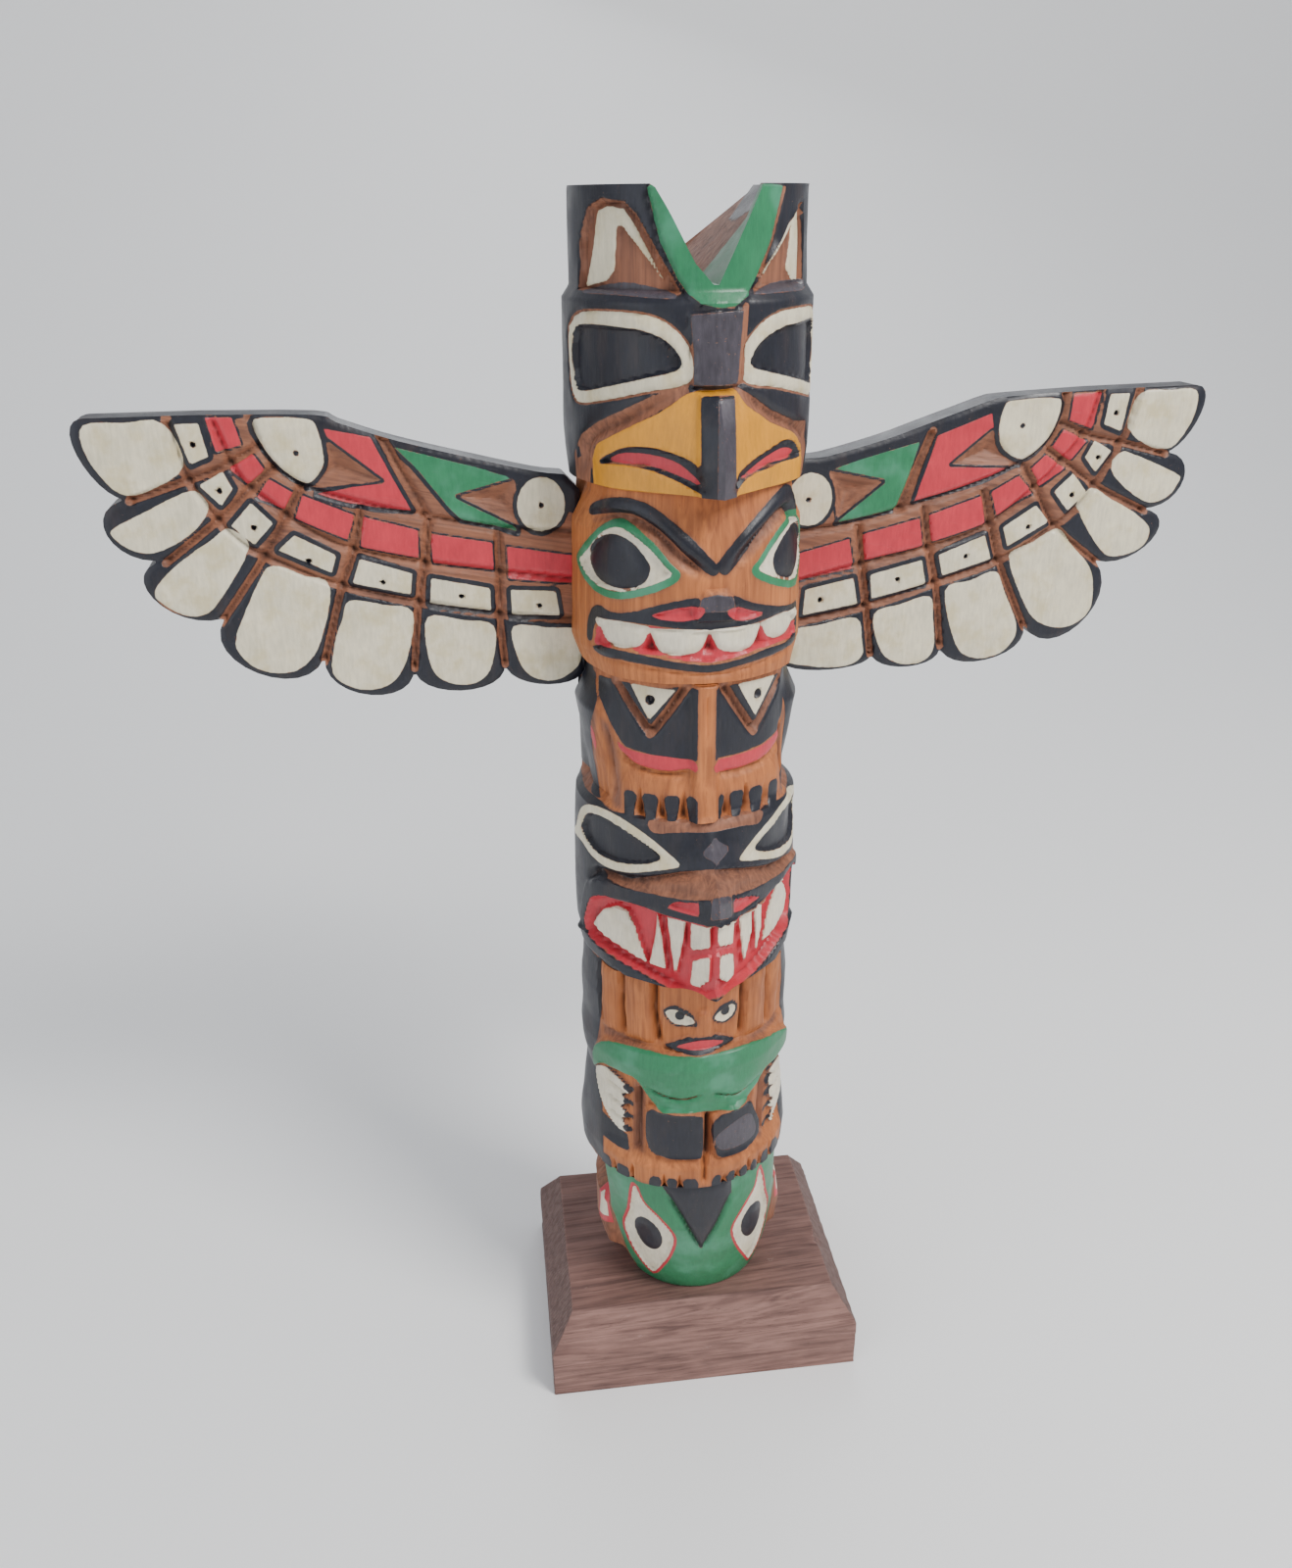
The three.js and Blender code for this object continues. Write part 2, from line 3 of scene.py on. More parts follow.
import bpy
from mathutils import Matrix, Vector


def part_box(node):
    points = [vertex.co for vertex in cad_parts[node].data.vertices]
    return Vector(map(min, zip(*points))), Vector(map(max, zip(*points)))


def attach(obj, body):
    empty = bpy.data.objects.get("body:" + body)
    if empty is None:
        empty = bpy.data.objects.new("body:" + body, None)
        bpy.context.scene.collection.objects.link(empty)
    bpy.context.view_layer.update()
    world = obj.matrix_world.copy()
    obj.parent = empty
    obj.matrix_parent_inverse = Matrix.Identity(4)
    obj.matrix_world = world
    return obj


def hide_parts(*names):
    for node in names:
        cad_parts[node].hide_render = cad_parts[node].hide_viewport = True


bl_info = {
    "name": "Totem Pole Finish",
    "version": (1, 0, 0),
    "blender": (4, 5, 0),
    "location": "View3D > Sidebar > Totem Pole",
    "description": "Carves, paints and stages a wooden totem pole on its plinth",
    "category": "Add Mesh",
}

import math

import bmesh
import bpy
import numpy as np
from bpy.props import FloatProperty, FloatVectorProperty, PointerProperty
from mathutils import Matrix, Vector

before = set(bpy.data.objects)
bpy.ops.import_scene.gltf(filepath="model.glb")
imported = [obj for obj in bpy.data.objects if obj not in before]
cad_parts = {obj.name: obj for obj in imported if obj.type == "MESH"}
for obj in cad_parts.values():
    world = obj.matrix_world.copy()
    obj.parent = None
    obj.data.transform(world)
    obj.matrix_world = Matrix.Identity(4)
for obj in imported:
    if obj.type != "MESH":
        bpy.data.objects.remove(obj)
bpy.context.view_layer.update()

MM = 0.001
GIRTH = 41.0  # the patterns are laid out on a plain cylinder of this radius, in mm
WING_ROOT, WING_FRONT, WING_THICK = 36.0, 4.0, 12.0
# The pole's own axis stands at the origin of all the carving below; this is where it is in the frame.
_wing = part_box("wing_left")
AXIS = np.array([_wing[1].x / MM + WING_ROOT, _wing[0].y / MM - WING_FRONT, 0.0])
EYE = np.array([-96.6, -429.7, 465.3])  # the eye that the patterns are laid out for
POLE_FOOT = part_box("pole")[0].z / MM
POLE_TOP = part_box("pole")[1].z / MM
HEAD_TOP = 107.0
LEAN = (5.0, 4.0)

# z, front, flank, back, snout (0 = none): the log's profile, in mm
STATIONS = np.array([
    (38.3, 30, 29, 34, 0), (49, 33.4, 31, 36.5, 0), (52, 34.2, 38.5, 38, 0), (62, 36, 40, 40, 0),
    (78, 38, 39, 40.5, 0), (84, 38.6, 32.5, 40.5, 0), (98, 39.4, 31.5, 40.5, 0), (107, 39.6, 35, 40.5, 0),
    (108, 42.5, 42, 40.5, 0), (117, 43, 42.6, 40.5, 0), (123.5, 39.6, 42, 40.5, 0), (148, 39.5, 39, 40.5, 0),
    (157, 40.8, 41, 40.5, 0), (165, 41.8, 41.4, 40.5, 0), (171, 41, 40.8, 40.5, 0),
        (173.5, 38.4, 40.6, 40.5, 0),
    (188, 39.2, 40.8, 40.5, 0), (203, 39.8, 39.2, 40.5, 0), (204, 41.5, 40, 40.5, 54),
        (213, 41.6, 41.6, 40.5, 56),
    (237, 41.6, 42, 40.5, 56.5), (247, 41.6, 41.8, 40.5, 55), (253, 41.6, 41.6, 40.5, 48.5),
    (262, 41.6, 41.2, 40.5, 43.5), (267, 41, 40.8, 40.5, 0), (271.5, 38.6, 35.2, 40.5, 0),
    (280, 38.2, 36, 40.5, 0), (285, 37, 37, 40.5, 0), (304, 37, 40.2, 40.5, 0), (314, 37, 35.8, 40.5, 0),
    (318.6, 37, 35.4, 40.5, 0), (319.6, 39.8, 38.2, 40.5, 0), (327, 40.8, 40.4, 40.5, 0),
    (368, 40.2, 39.2, 40.5, 0), (378, 38.8, 34, 40, 0), (382, 38.4, 33.6, 40, 0), (383, 40.3, 39.6, 40, 52),
    (392, 40.6, 40.6, 40, 52.4), (404, 40.8, 40.8, 40, 48.5), (415, 40.8, 40.6, 40, 42),
    (438, 40.6, 40.4, 40, 0), (441.5, 38, 38, 39, 0), (470, 37.8, 37.6, 38.5, 0),
])
TURN = {"front": 50, "flank": 66, "flank_end": 100, "back": 118, "head_front": 66, "head_flank": 78}

PAINTS = ("black", "worn_grey_highlight", "green", "red", "ochre", "cream", "white", "amber")


# Drawing -----------------------------------------------------------------------------------------


def smoothstep(low, high, value):
    t = np.clip((value - low) / (high - low), 0.0, 1.0)
    return t * t * (3 - 2 * t)


def curve(points, closed=True, steps=4):
    """Smooth line through given points."""
    p = np.asarray(points, float)
    if closed:
        before, after, nxt = np.roll(p, 1, 0), np.roll(p, -1, 0), np.roll(p, -2, 0)
        start = p
    else:
        start, after = p[:-1], p[1:]
        before = np.vstack([2 * p[0] - p[1], p[:-2]])
        nxt = np.vstack([p[2:], 2 * p[-1] - p[-2]])
    rows = []
    for t in np.arange(steps) / steps:
        rows.append(0.5 * (2 * start + (after - before) * t
                           + (2 * before - 5 * start + 4 * after - nxt) * t * t
                           + (3 * start - before - 3 * after + nxt) * t ** 3))
    line = np.stack(rows, 1).reshape(-1, 2)
    return line if closed else np.vstack([line, p[-1]])


def flip(points, centre=0.0):
    return [(2 * centre - s, z) for s, z in points]


def oval(s, z, wide, high, steps=20):
    return [(s + wide * math.cos(a), z + high * math.sin(a)) for a in np.linspace(0,
        2 * math.pi, steps, False)]


def leaf(left, right, top, bottom):
    """Pointed oval between two corners."""
    (s0, z0), (s1, z1) = left, right
    ts = np.linspace(0, 1, 9)
    upper = [(s0 + (s1 - s0) * t,
        z0 + (z1 - z0) * t + (top - (z0 + z1) / 2) * math.sin(math.pi * t)) for t in ts]
    lower = [(s0 + (s1 - s0) * t,
        z0 + (z1 - z0) * t + (bottom - (z0 + z1) / 2) * math.sin(math.pi * t)) for t in ts[::-1]]
    return upper + lower[1:-1]


class Carving:
    """Depth and paint over a set of surface points, laid out as (distance round, height) in mm."""

    def __init__(self, s, z):
        self.s, self.z = np.asarray(s), np.asarray(z)
        self.depth = np.zeros(len(self.s))
        self.paint_mm = {name: np.full(len(self.s), -9.0) for name in PAINTS}
        self.active = np.ones(len(self.s), bool)

    def near(self, points, margin):
        low, high = points.min(0) - margin, points.max(0) + margin
        return np.nonzero(self.active & (self.s > low[0]) & (self.s < high[0]) & (self.z > low[1]) & (self.z < high[1]))[0]

    def distance(self, points, closed, margin):
        """Points within reach of a line, their distance to it, and how far along it they lie."""
        p = np.asarray(points, float)
        where = self.near(p, margin)
        x, y = self.s[where], self.z[where]
        ends = np.roll(p, -1, 0) if closed else p[1:]
        starts = p if closed else p[:-1]
        best = np.full(len(where), 1e9)
        along = np.zeros(len(where))
        inside = np.zeros(len(where), bool)
        for k, ((x0, y0), (x1, y1)) in enumerate(zip(starts, ends)):
            dx, dy = x1 - x0, y1 - y0
            t = np.clip(((x - x0) * dx + (y - y0) * dy) / (dx * dx + dy * dy + 1e-12), 0, 1)
            d = np.hypot(x - x0 - t * dx, y - y0 - t * dy)
            closer = d < best
            best = np.where(closer, d, best)
            along = np.where(closer, (k + t) / len(starts), along)
            if closed and y0 != y1:
                crosses = (y0 > y) != (y1 > y)
                inside ^= crosses & (x < x0 + (y - y0) * dx / dy)
        return where, np.where(inside, best, -best) if closed else best, along

    def cut(self, outline, depth, wall=0.9, floor=0.0):
        """Pocket with a short sloping wall; floor > 0 dishes it."""
        where, d, _ = self.distance(outline, True, 1)
        self.depth[where] -= depth * smoothstep(0, wall, d) + floor * smoothstep(0, 6, d)

    def raised(self, outline, height, wall=1.2):
        where, d, _ = self.distance(outline, True, wall)
        self.depth[where] += height * smoothstep(-wall, 0.2, d)

    def dome(self, outline, height, reach=6):
        where, d, _ = self.distance(outline, True, 1)
        self.depth[where] += height * (1 - (1 - np.clip(d / reach, 0, 1)) ** 2)

    def groove(self, line, width, depth, taper=0.15):
        where, d, along = self.distance(line, False, width)
        ends = np.clip(np.minimum(along, 1 - along) / max(taper, 1e-3), 0.05, 1)
        self.depth[where] -= depth * ends * np.clip(1 - d / (width / 2), 0, 1)

    def lay(self, colour, where, d):
        for name in PAINTS:
            coat = self.paint_mm[name]
            if name == colour:
                coat[where] = np.maximum(coat[where], d)
            else:
                coat[where] = np.minimum(coat[where], -d)

    def paint(self, colour, outline, grow=0.0):
        """Coat inside an outline; "bare" scrapes back to the wood."""
        where, d, _ = self.distance(outline, True, 4 + grow)
        self.lay(colour, where, d + grow)

    def stroke(self, colour, line, width, taper=0.0):
        where, d, along = self.distance(line, False, width + 3)
        thin = np.clip(np.minimum(along, 1 - along) / taper, 0.15, 1) if taper else 1.0
        self.lay(colour, where, width / 2 * thin - d)

    def chip(self, corners, depth):
        """Three-sided pit, deepest in the middle."""
        where, d, _ = self.distance(corners, True, 1)
        reach = d.max() if len(d) else 1
        self.depth[where] -= depth * np.clip(d / max(reach, 0.5), 0, 1)


def ripple(s, z, scale_s, scale_z, seed):
    """Soft random swelling between -1 and 1, the unevenness of hand work."""
    lattice = np.random.default_rng(seed).random((64, 128)) * 2 - 1
    u, v = s / scale_s + 200.3, z / scale_z + 100.7
    iu, iv = np.floor(u).astype(int), np.floor(v).astype(int)
    fu, fv = u - iu, v - iv
    fu, fv = fu * fu * (3 - 2 * fu), fv * fv * (3 - 2 * fv)
    pick = lambda a, b: lattice[a % 64, b % 128]
    low = pick(iu, iv) * (1 - fu) + pick(iu + 1, iv) * fu
    high = pick(iu, iv + 1) * (1 - fu) + pick(iu + 1, iv + 1) * fu
    return low * (1 - fv) + high * fv


def facets(s, z, width, height, seed):
    """Shallow scoops left by a gouge: 0 at the ridges between cuts, 1 in the middle of each."""
    rng = np.random.default_rng(seed)
    jitter = rng.random((64, 256, 3))
    row = np.floor(z / height + 300).astype(int)
    shift = jitter[row % 64, 7, 0]
    u = s / width + shift + 300
    column = np.floor(u).astype(int)
    fu = u - column
    fz = z / height + 300 - row
    tilt = jitter[row % 64, column % 256, 1] * 0.6 - 0.3
    return (1 - (2 * fu - 1) ** 2) * (1 - (2 * fz - 1) ** 2 * 0.7) + tilt * (fu - 0.5)


# The pole's shape --------------------------------------------------------------------------------


def station_radius(station, angle):
    z, front, flank, back, snout = station
    degrees = np.degrees(np.abs(angle))
    low = z <= HEAD_TOP
    to_flank = smoothstep(*((TURN["head_front"], TURN["head_flank"]) if low else (TURN["front"],
        TURN["flank"])), degrees)
    to_back = smoothstep(TURN["flank_end"], TURN["back"], degrees)
    around = (front + (flank - front) * to_flank)
    around = around + (back - around) * to_back
    if not snout:
        return around
    tangent = math.acos(front / snout)
    away = np.abs(angle)
    return np.where(away < tangent, front / np.cos(np.minimum(tangent - away, 1.4)), around)


def log_radius(angle, z):
    """Radius of the uncarved log, angle and z being arrays of one length."""
    heights = STATIONS[:, 0]
    k = np.clip(np.searchsorted(heights, z) - 1, 0, len(heights) - 2)
    share = np.clip((z - heights[k]) / (heights[k + 1] - heights[k]), 0, 1)
    radius = np.zeros(len(z))
    for i in np.unique(k):
        pick = k == i
        below, above = station_radius(STATIONS[i], angle[pick]), station_radius(STATIONS[i + 1], angle[pick])
        radius[pick] = below + (above - below) * share[pick]
    return radius


def lean_at(z):
    share = np.clip((HEAD_TOP - z) / (HEAD_TOP - 38), 0, None)
    return LEAN[0] * share, LEAN[1] * share


def pattern_place(angle, radius, z):
    """Where a point of the log falls on the plain cylinder that the patterns are drawn on, along the
    line from the eye; round the sides, where that line grazes, simply the arc and the height."""
    lx, ly = lean_at(z)
    x, y = lx + radius * np.sin(angle), ly - radius * np.cos(angle)
    d = np.stack([x - EYE[0], y - EYE[1], z - EYE[2]], 1)
    a = d[:, 0] ** 2 + d[:, 1] ** 2
    b = 2 * (EYE[0] * d[:, 0] + EYE[1] * d[:, 1])
    disc = b * b - 4 * a * (EYE[0] ** 2 + EYE[1] ** 2 - GIRTH ** 2)
    t = (-b - np.sqrt(np.maximum(disc, 0))) / (2 * a)
    px, py, pz = EYE[0] + t * d[:, 0], EYE[1] + t * d[:, 1], EYE[2] + t * d[:, 2]
    facing = -(d[:, 0] * np.sin(angle) - d[:, 1] * np.cos(angle)) / np.sqrt(a)
    trust = smoothstep(0.2, 0.45, facing) * (disc > 0)
    s = GIRTH * angle
    return s + (GIRTH * np.arctan2(px, -py) - s) * trust, z + (pz - z) * trust


# The figures -------------------------------------------------------------------------------------
# Outlines are (distance round from the front, height) in mm.


def band(low, high, side=98.0):
    return [(-side, low), (side, low), (side, high), (-side, high)]


def thunderbird(c):
    c.paint("black", band(382, 480))
    # plate of the V and the ears either side of it
    vee = [(-22, 474), (-17, 455), (-12, 445), (-9, 441), (-5, 438), (0, 436.8), (5, 437), (9, 440),
        (12.5, 446), (16.5, 455), (22, 474)]
    ear_left = [(-48, 441), (-46.5, 455), (-42, 464), (-36, 466.4), (-28, 465.4), (-24, 462), (-10.5, 440.5)]
    ear_right = [(40, 442), (39.4, 460), (36, 465), (30, 464.6), (24, 459), (11, 441)]
    for ear in (ear_left, ear_right):
        c.cut(ear, 1.5)
        c.paint("bare", ear)
    left = [(-45.5, 442), (-42, 452), (-40, 460), (-39, 463), (-35, 464.2), (-29, 463.5), (-26, 460),
        (-16, 444),
            (-24, 453), (-29.5, 459), (-31.5, 459), (-32, 455), (-32.8, 447), (-36, 444)]
    right = [(12, 443.4), (20, 454), (28, 462.5), (31, 464), (34.6, 463), (36.3, 460), (37.4, 442),
        (30, 442.4), (25.5, 447),
             (27.4, 454), (28.6, 459.4), (21, 451)]
    for shape in (left, right):
        c.paint("cream", shape)
        c.raised(shape, 0.5, 0.8)
    c.raised(vee, 0.9)
    c.paint("green", vee)
    c.stroke("bare", [(22.6, 472), (17.4, 455), (13.2, 446)], 1.5)
    c.groove([(22.4, 474), (17.2, 455), (13, 446), (9.4, 440)], 2.4, 0.9, 0)
    c.groove([(-22.4, 474), (-17.2, 455), (-12.4, 445), (-9.4, 440.6)], 2.4, 0.9, 0)
    # ledges under the ears in grey: painted highlight on partly worn black paint
    for ledge in ([(-46, 440.6), (-30, 443.6), (-15, 441.4), (-13, 439.4), (-30, 440.2)], [(11, 440.4),
        (24, 443.4), (41, 443), (41, 440.8), (24, 440.4)]):
        c.paint("worn_grey_highlight", curve(ledge))
    # eyes: a cream band round a sunk dark oblong
    outer = curve([(-55.5, 430), (-50, 433.8), (-42, 435.2), (-25, 435.2), (-16, 433), (-9.6, 427.6),
        (-7.3, 422), (-7.4, 417),
                   (-11, 414.6), (-20, 413.2), (-30, 411), (-40, 409), (-48, 407.8), (-53, 408.8), (-56, 414),
                       (-56.8, 424)])
    inner = curve([(-53.2, 426), (-50, 430.4), (-42, 431.5), (-25, 430.8), (-16, 428), (-11, 423),
        (-11.6, 419.4), (-20, 417.2),
                   (-32, 414.4), (-45, 411.7), (-50.4, 411.7), (-53, 416)])
    for turn in (lambda p: p, lambda p: flip(p, 0.4)):
        c.paint("bare", turn(outer), 0.7)
        c.groove(turn(list(outer) + [outer[0]]), 1.8, 0.5, 0)
        c.paint("cream", turn(outer))
        c.paint("black", turn(inner))
        c.cut(turn(inner), 1.3)
    # bridge of the nose, grey as a painted highlight on partly worn black paint, its right edge rubbed to
    # bare wood
    bridge = [(-7, 415), (7, 415), (8, 424), (8.6, 436), (-8, 435), (-7, 424)]
    c.raised(bridge, 0.8)
    c.paint("worn_grey_highlight", bridge)
    c.stroke("bare", [(9, 437), (8.2, 426), (7.6, 416)], 2.2)
    c.paint("black", [(-6, 408), (6, 408), (6.6, 414), (-6.4, 414)])
    c.groove([(-9, 415), (-3, 413), (4, 413), (9, 416)], 3, 0.9)
    # beak
    rim = [(-9, 415.5), (-20, 411.6), (-30, 407), (-40, 402.6), (-48, 398), (-54, 391), (-54, 383),
        (-44, 383), (-43, 390), (-40.5, 396),
           (-30, 401), (-18, 407), (-8, 412.6)]
    c.paint("bare", rim)
    c.paint("bare", [(5, 415), (12, 411.4), (20, 406.4), (33, 401.6), (42, 400.6), (45, 391), (44, 383),
        (38.6, 383), (39, 389), (37, 393), (31, 399), (20, 402.6), (10, 408.6), (6, 413)])
    c.groove(curve([(-8, 414.6), (-28, 404.4), (-40, 399.6), (-46, 394), (-47, 384)], False), 5.5, 1.5)
    c.groove(curve([(6, 414.4), (20, 405), (33, 400), (41, 396), (42, 385)], False), 5.5, 1.5)
    c.paint("ochre", [(-5, 413.6), (-9, 412.5), (-17, 407), (-30, 401), (-40, 396), (-42.5, 391), (-42, 382),
        (-20, 379), (0, 377), (0, 413.4)])
    c.paint("ochre", [(0, 413.4), (6, 413.8), (10, 408.4), (20, 402.4), (31, 398.6), (37, 393.6), (39, 389),
        (39, 382), (20, 379), (0, 377)])
    c.paint("black", [(-52, 394), (-49.6, 394), (-49, 391), (-51.6, 390)])
    slit_left = curve([(-39.5, 390.2), (-35, 393.6), (-28, 396.2), (-20, 396.5), (-12, 394.6), (-6, 391.4),
        (-2.2, 385), (-3, 382), (-12, 386.5), (-20, 389.4), (-30, 390.6)])
    slit_right = curve([(5.6, 384), (8, 388.4), (13, 392), (20, 395), (27, 396.6), (32, 395.4), (37, 391.4),
        (36, 389.8), (25, 389.8), (12, 387), (7, 382.6)])
    for slit in (slit_left, slit_right):
        c.paint("black", slit)
        c.cut(slit, 1.1)
    c.paint("red", curve([(-36, 391.6), (-30, 394), (-20, 394), (-11, 391.4), (-3.6, 384.4), (-10, 387.4),
        (-20, 390.6), (-32, 391)]))
    c.paint("red", curve([(7.4, 385.4), (14, 389.6), (20, 392.4), (28, 393.8), (34, 392.2), (30, 390.8),
        (20, 390), (12, 387.4)]))
    ridge = [(-4.2, 378), (7, 378), (5.4, 412), (-5, 412)]
    c.raised(ridge, 1.1)
    c.paint("black", ridge)
    # right half of the beak ridge in grey: painted highlight on partly worn black paint, the left half left
    # black
    c.paint("worn_grey_highlight", [(0.6, 378), (7, 378), (5.4, 411), (0.4, 411)])


def broad_face(c):
    c.paint("amber", band(318, 384, 96))
    # brows
    left = curve([(-44, 374.6), (-38, 377.5), (-30, 379), (-22, 378), (-15, 373.4), (-8, 367.4),
        (-2.5, 361.6), (0.5, 358),
                  (-1.8, 358.8), (-8, 364), (-15, 370.6), (-24, 376), (-30, 376.8), (-38, 375.8)])
    right = curve([(3, 360), (8, 366), (14, 372), (20, 377), (25, 380.3), (28, 381), (32, 379), (37, 372),
        (35.6, 370.6), (31, 375.2), (28, 376),
                   (22, 373.5), (15, 368), (10, 363), (4.4, 358)])
    lower_left = curve([(-43, 371.6), (-31, 374), (-21, 371.4), (-11, 362.6), (-0.8, 356)], False)
    lower_right = curve([(4.4, 356.4), (14, 366), (24, 373), (30, 374.2), (37, 368)], False)
    for line in (lower_left, lower_right):
        c.stroke("bare", line, 4.6, 0.2)
        c.groove(line, 6.5, 1.8)
    for brow in (left, right):
        c.paint("black", brow, 1.5)
        c.raised(brow, 0.5)
    # eyes: green rim, white leaf, dark dished pupil
    rim = curve([(-58.5, 356), (-50, 361.6), (-40, 370), (-34, 373), (-28, 372.5), (-20, 367.4),
        (-13.6, 360.4), (-10.5, 357.2), (-12.4, 354.2),
                 (-20, 350.5), (-30, 347.5), (-38, 347.2), (-46, 349.6), (-54, 353.2)])
    white = curve([(-54, 356.2), (-48, 360), (-40, 367.4), (-34, 370.4), (-28.6, 370), (-21, 365),
        (-15.6, 359.4), (-13.4, 357), (-15, 355.6),
                   (-21, 352.8), (-30, 350), (-38, 349.7), (-46, 352), (-52, 354.6)])
    for turn in (lambda p: p, lambda p: flip(p, 1.4)):
        c.paint("green", turn(rim))
        c.cut(turn(white), 0.9)
        c.paint("white", turn(white))
        pupil = turn(curve([(-47, 358.6), (-43, 364.6), (-36, 368), (-28, 366.6), (-22, 361), (-21, 357),
            (-24, 352.6), (-32, 350.6), (-40, 351.6), (-45, 354.6)]))
        c.paint("black", pupil)
        c.dome(pupil, 0.7, 5)
    # moustache, nose tip and nostrils
    c.paint("black", curve([(-47, 337), (-44, 342), (-40, 343.8), (-35, 342.4), (-27, 343.6), (-20, 346),
        (-12, 348.3), (-5, 349.4), (1, 350), (7, 349.4), (14, 346.2),
                            (25, 343), (34, 341.6), (40, 341), (42, 337), (42, 330), (40, 332), (37, 337),
                                (30, 340), (20, 339.5), (10, 338.5), (0, 338), (-10, 339),
                            (-25, 340), (-38, 339.4), (-43, 336.6), (-45, 330.4), (-47.6, 331)]))
    # nose tip in grey: painted highlight on partly worn black paint
    c.paint("worn_grey_highlight", [(-5, 345), (7, 345), (6, 349.6), (1, 350.6), (-4, 349.8)])
    c.raised([(-5, 342), (7, 342), (7.4, 347), (4, 350.6), (-2.6, 350.6), (-5.4, 347)], 1.3, 1.6)
    for nostril in ([(-20, 343), (-14, 345.3), (-6, 346.6), (-3.2, 346.4), (-3.4, 344.4), (-6, 342.3),
        (-12, 341.5)],
                    [(4.4, 344), (5, 345.6), (8, 345.6), (14, 343.4), (19, 341.7), (14, 340.6), (8, 341)]):
        c.paint("red", curve(nostril))
        c.cut(curve(nostril), 0.7)
    # mouth
    mouth = curve([(-43, 328.6), (-42, 336), (-37, 339.2), (-25, 339.8), (-10, 338.8), (0, 337.8),
        (10, 338.3), (20, 339.3), (30, 339.8), (37, 336.4), (40, 329.6),
                   (30, 329.8), (20, 330), (10, 328.6), (0, 327.2), (-10, 328.2), (-20, 330), (-34, 330.4)],
                       True, 3)
    c.cut(mouth, 1.0)
    c.paint("red", mouth)
    teeth = [(-42, -21.6, 330.8), (-21, -1, 329.8), (-0.4, 18.4, 330), (19.2, 38.6, 331.4)]
    for low, high, foot in teeth:
        mid = (low + high) / 2
        top = 338.6 if abs(mid) < 12 else 339.4
        tooth = curve([(low + 0.3, top - 2), (low + 1, top), (high - 1, top), (high - 0.3, top - 2.6),
            (high - 3, foot + 1.4), (mid, foot - 0.2), (low + 3, foot + 1.4)], True, 3)
        c.paint("white", tooth)
        c.dome(tooth, 0.8, 3)
    for gap in (-21.2, -0.6, 18.8):
        wedge = [(gap - 3.6, 329.6), (gap + 3.6, 329.6), (gap, 337.6)]
        c.paint("red", wedge)
        c.chip(wedge, 1.8)
    c.paint("black", curve([(-45, 328), (-40, 329.6), (-30, 329.8), (-20, 329), (-10, 327.4), (0, 326.4),
        (10, 327.6), (20, 329.2), (30, 329), (40, 329.8), (42, 328), (40, 326.6), (30, 326.4),
                            (20, 326.2), (10, 325.4), (0, 323.8), (-10, 324.8), (-20, 326), (-30, 326.4),
                                (-40, 326.2)]))
    c.groove(curve([(-46, 327), (-25, 325), (0, 322.6), (22, 325), (43, 327)], False), 2.4, 0.6)


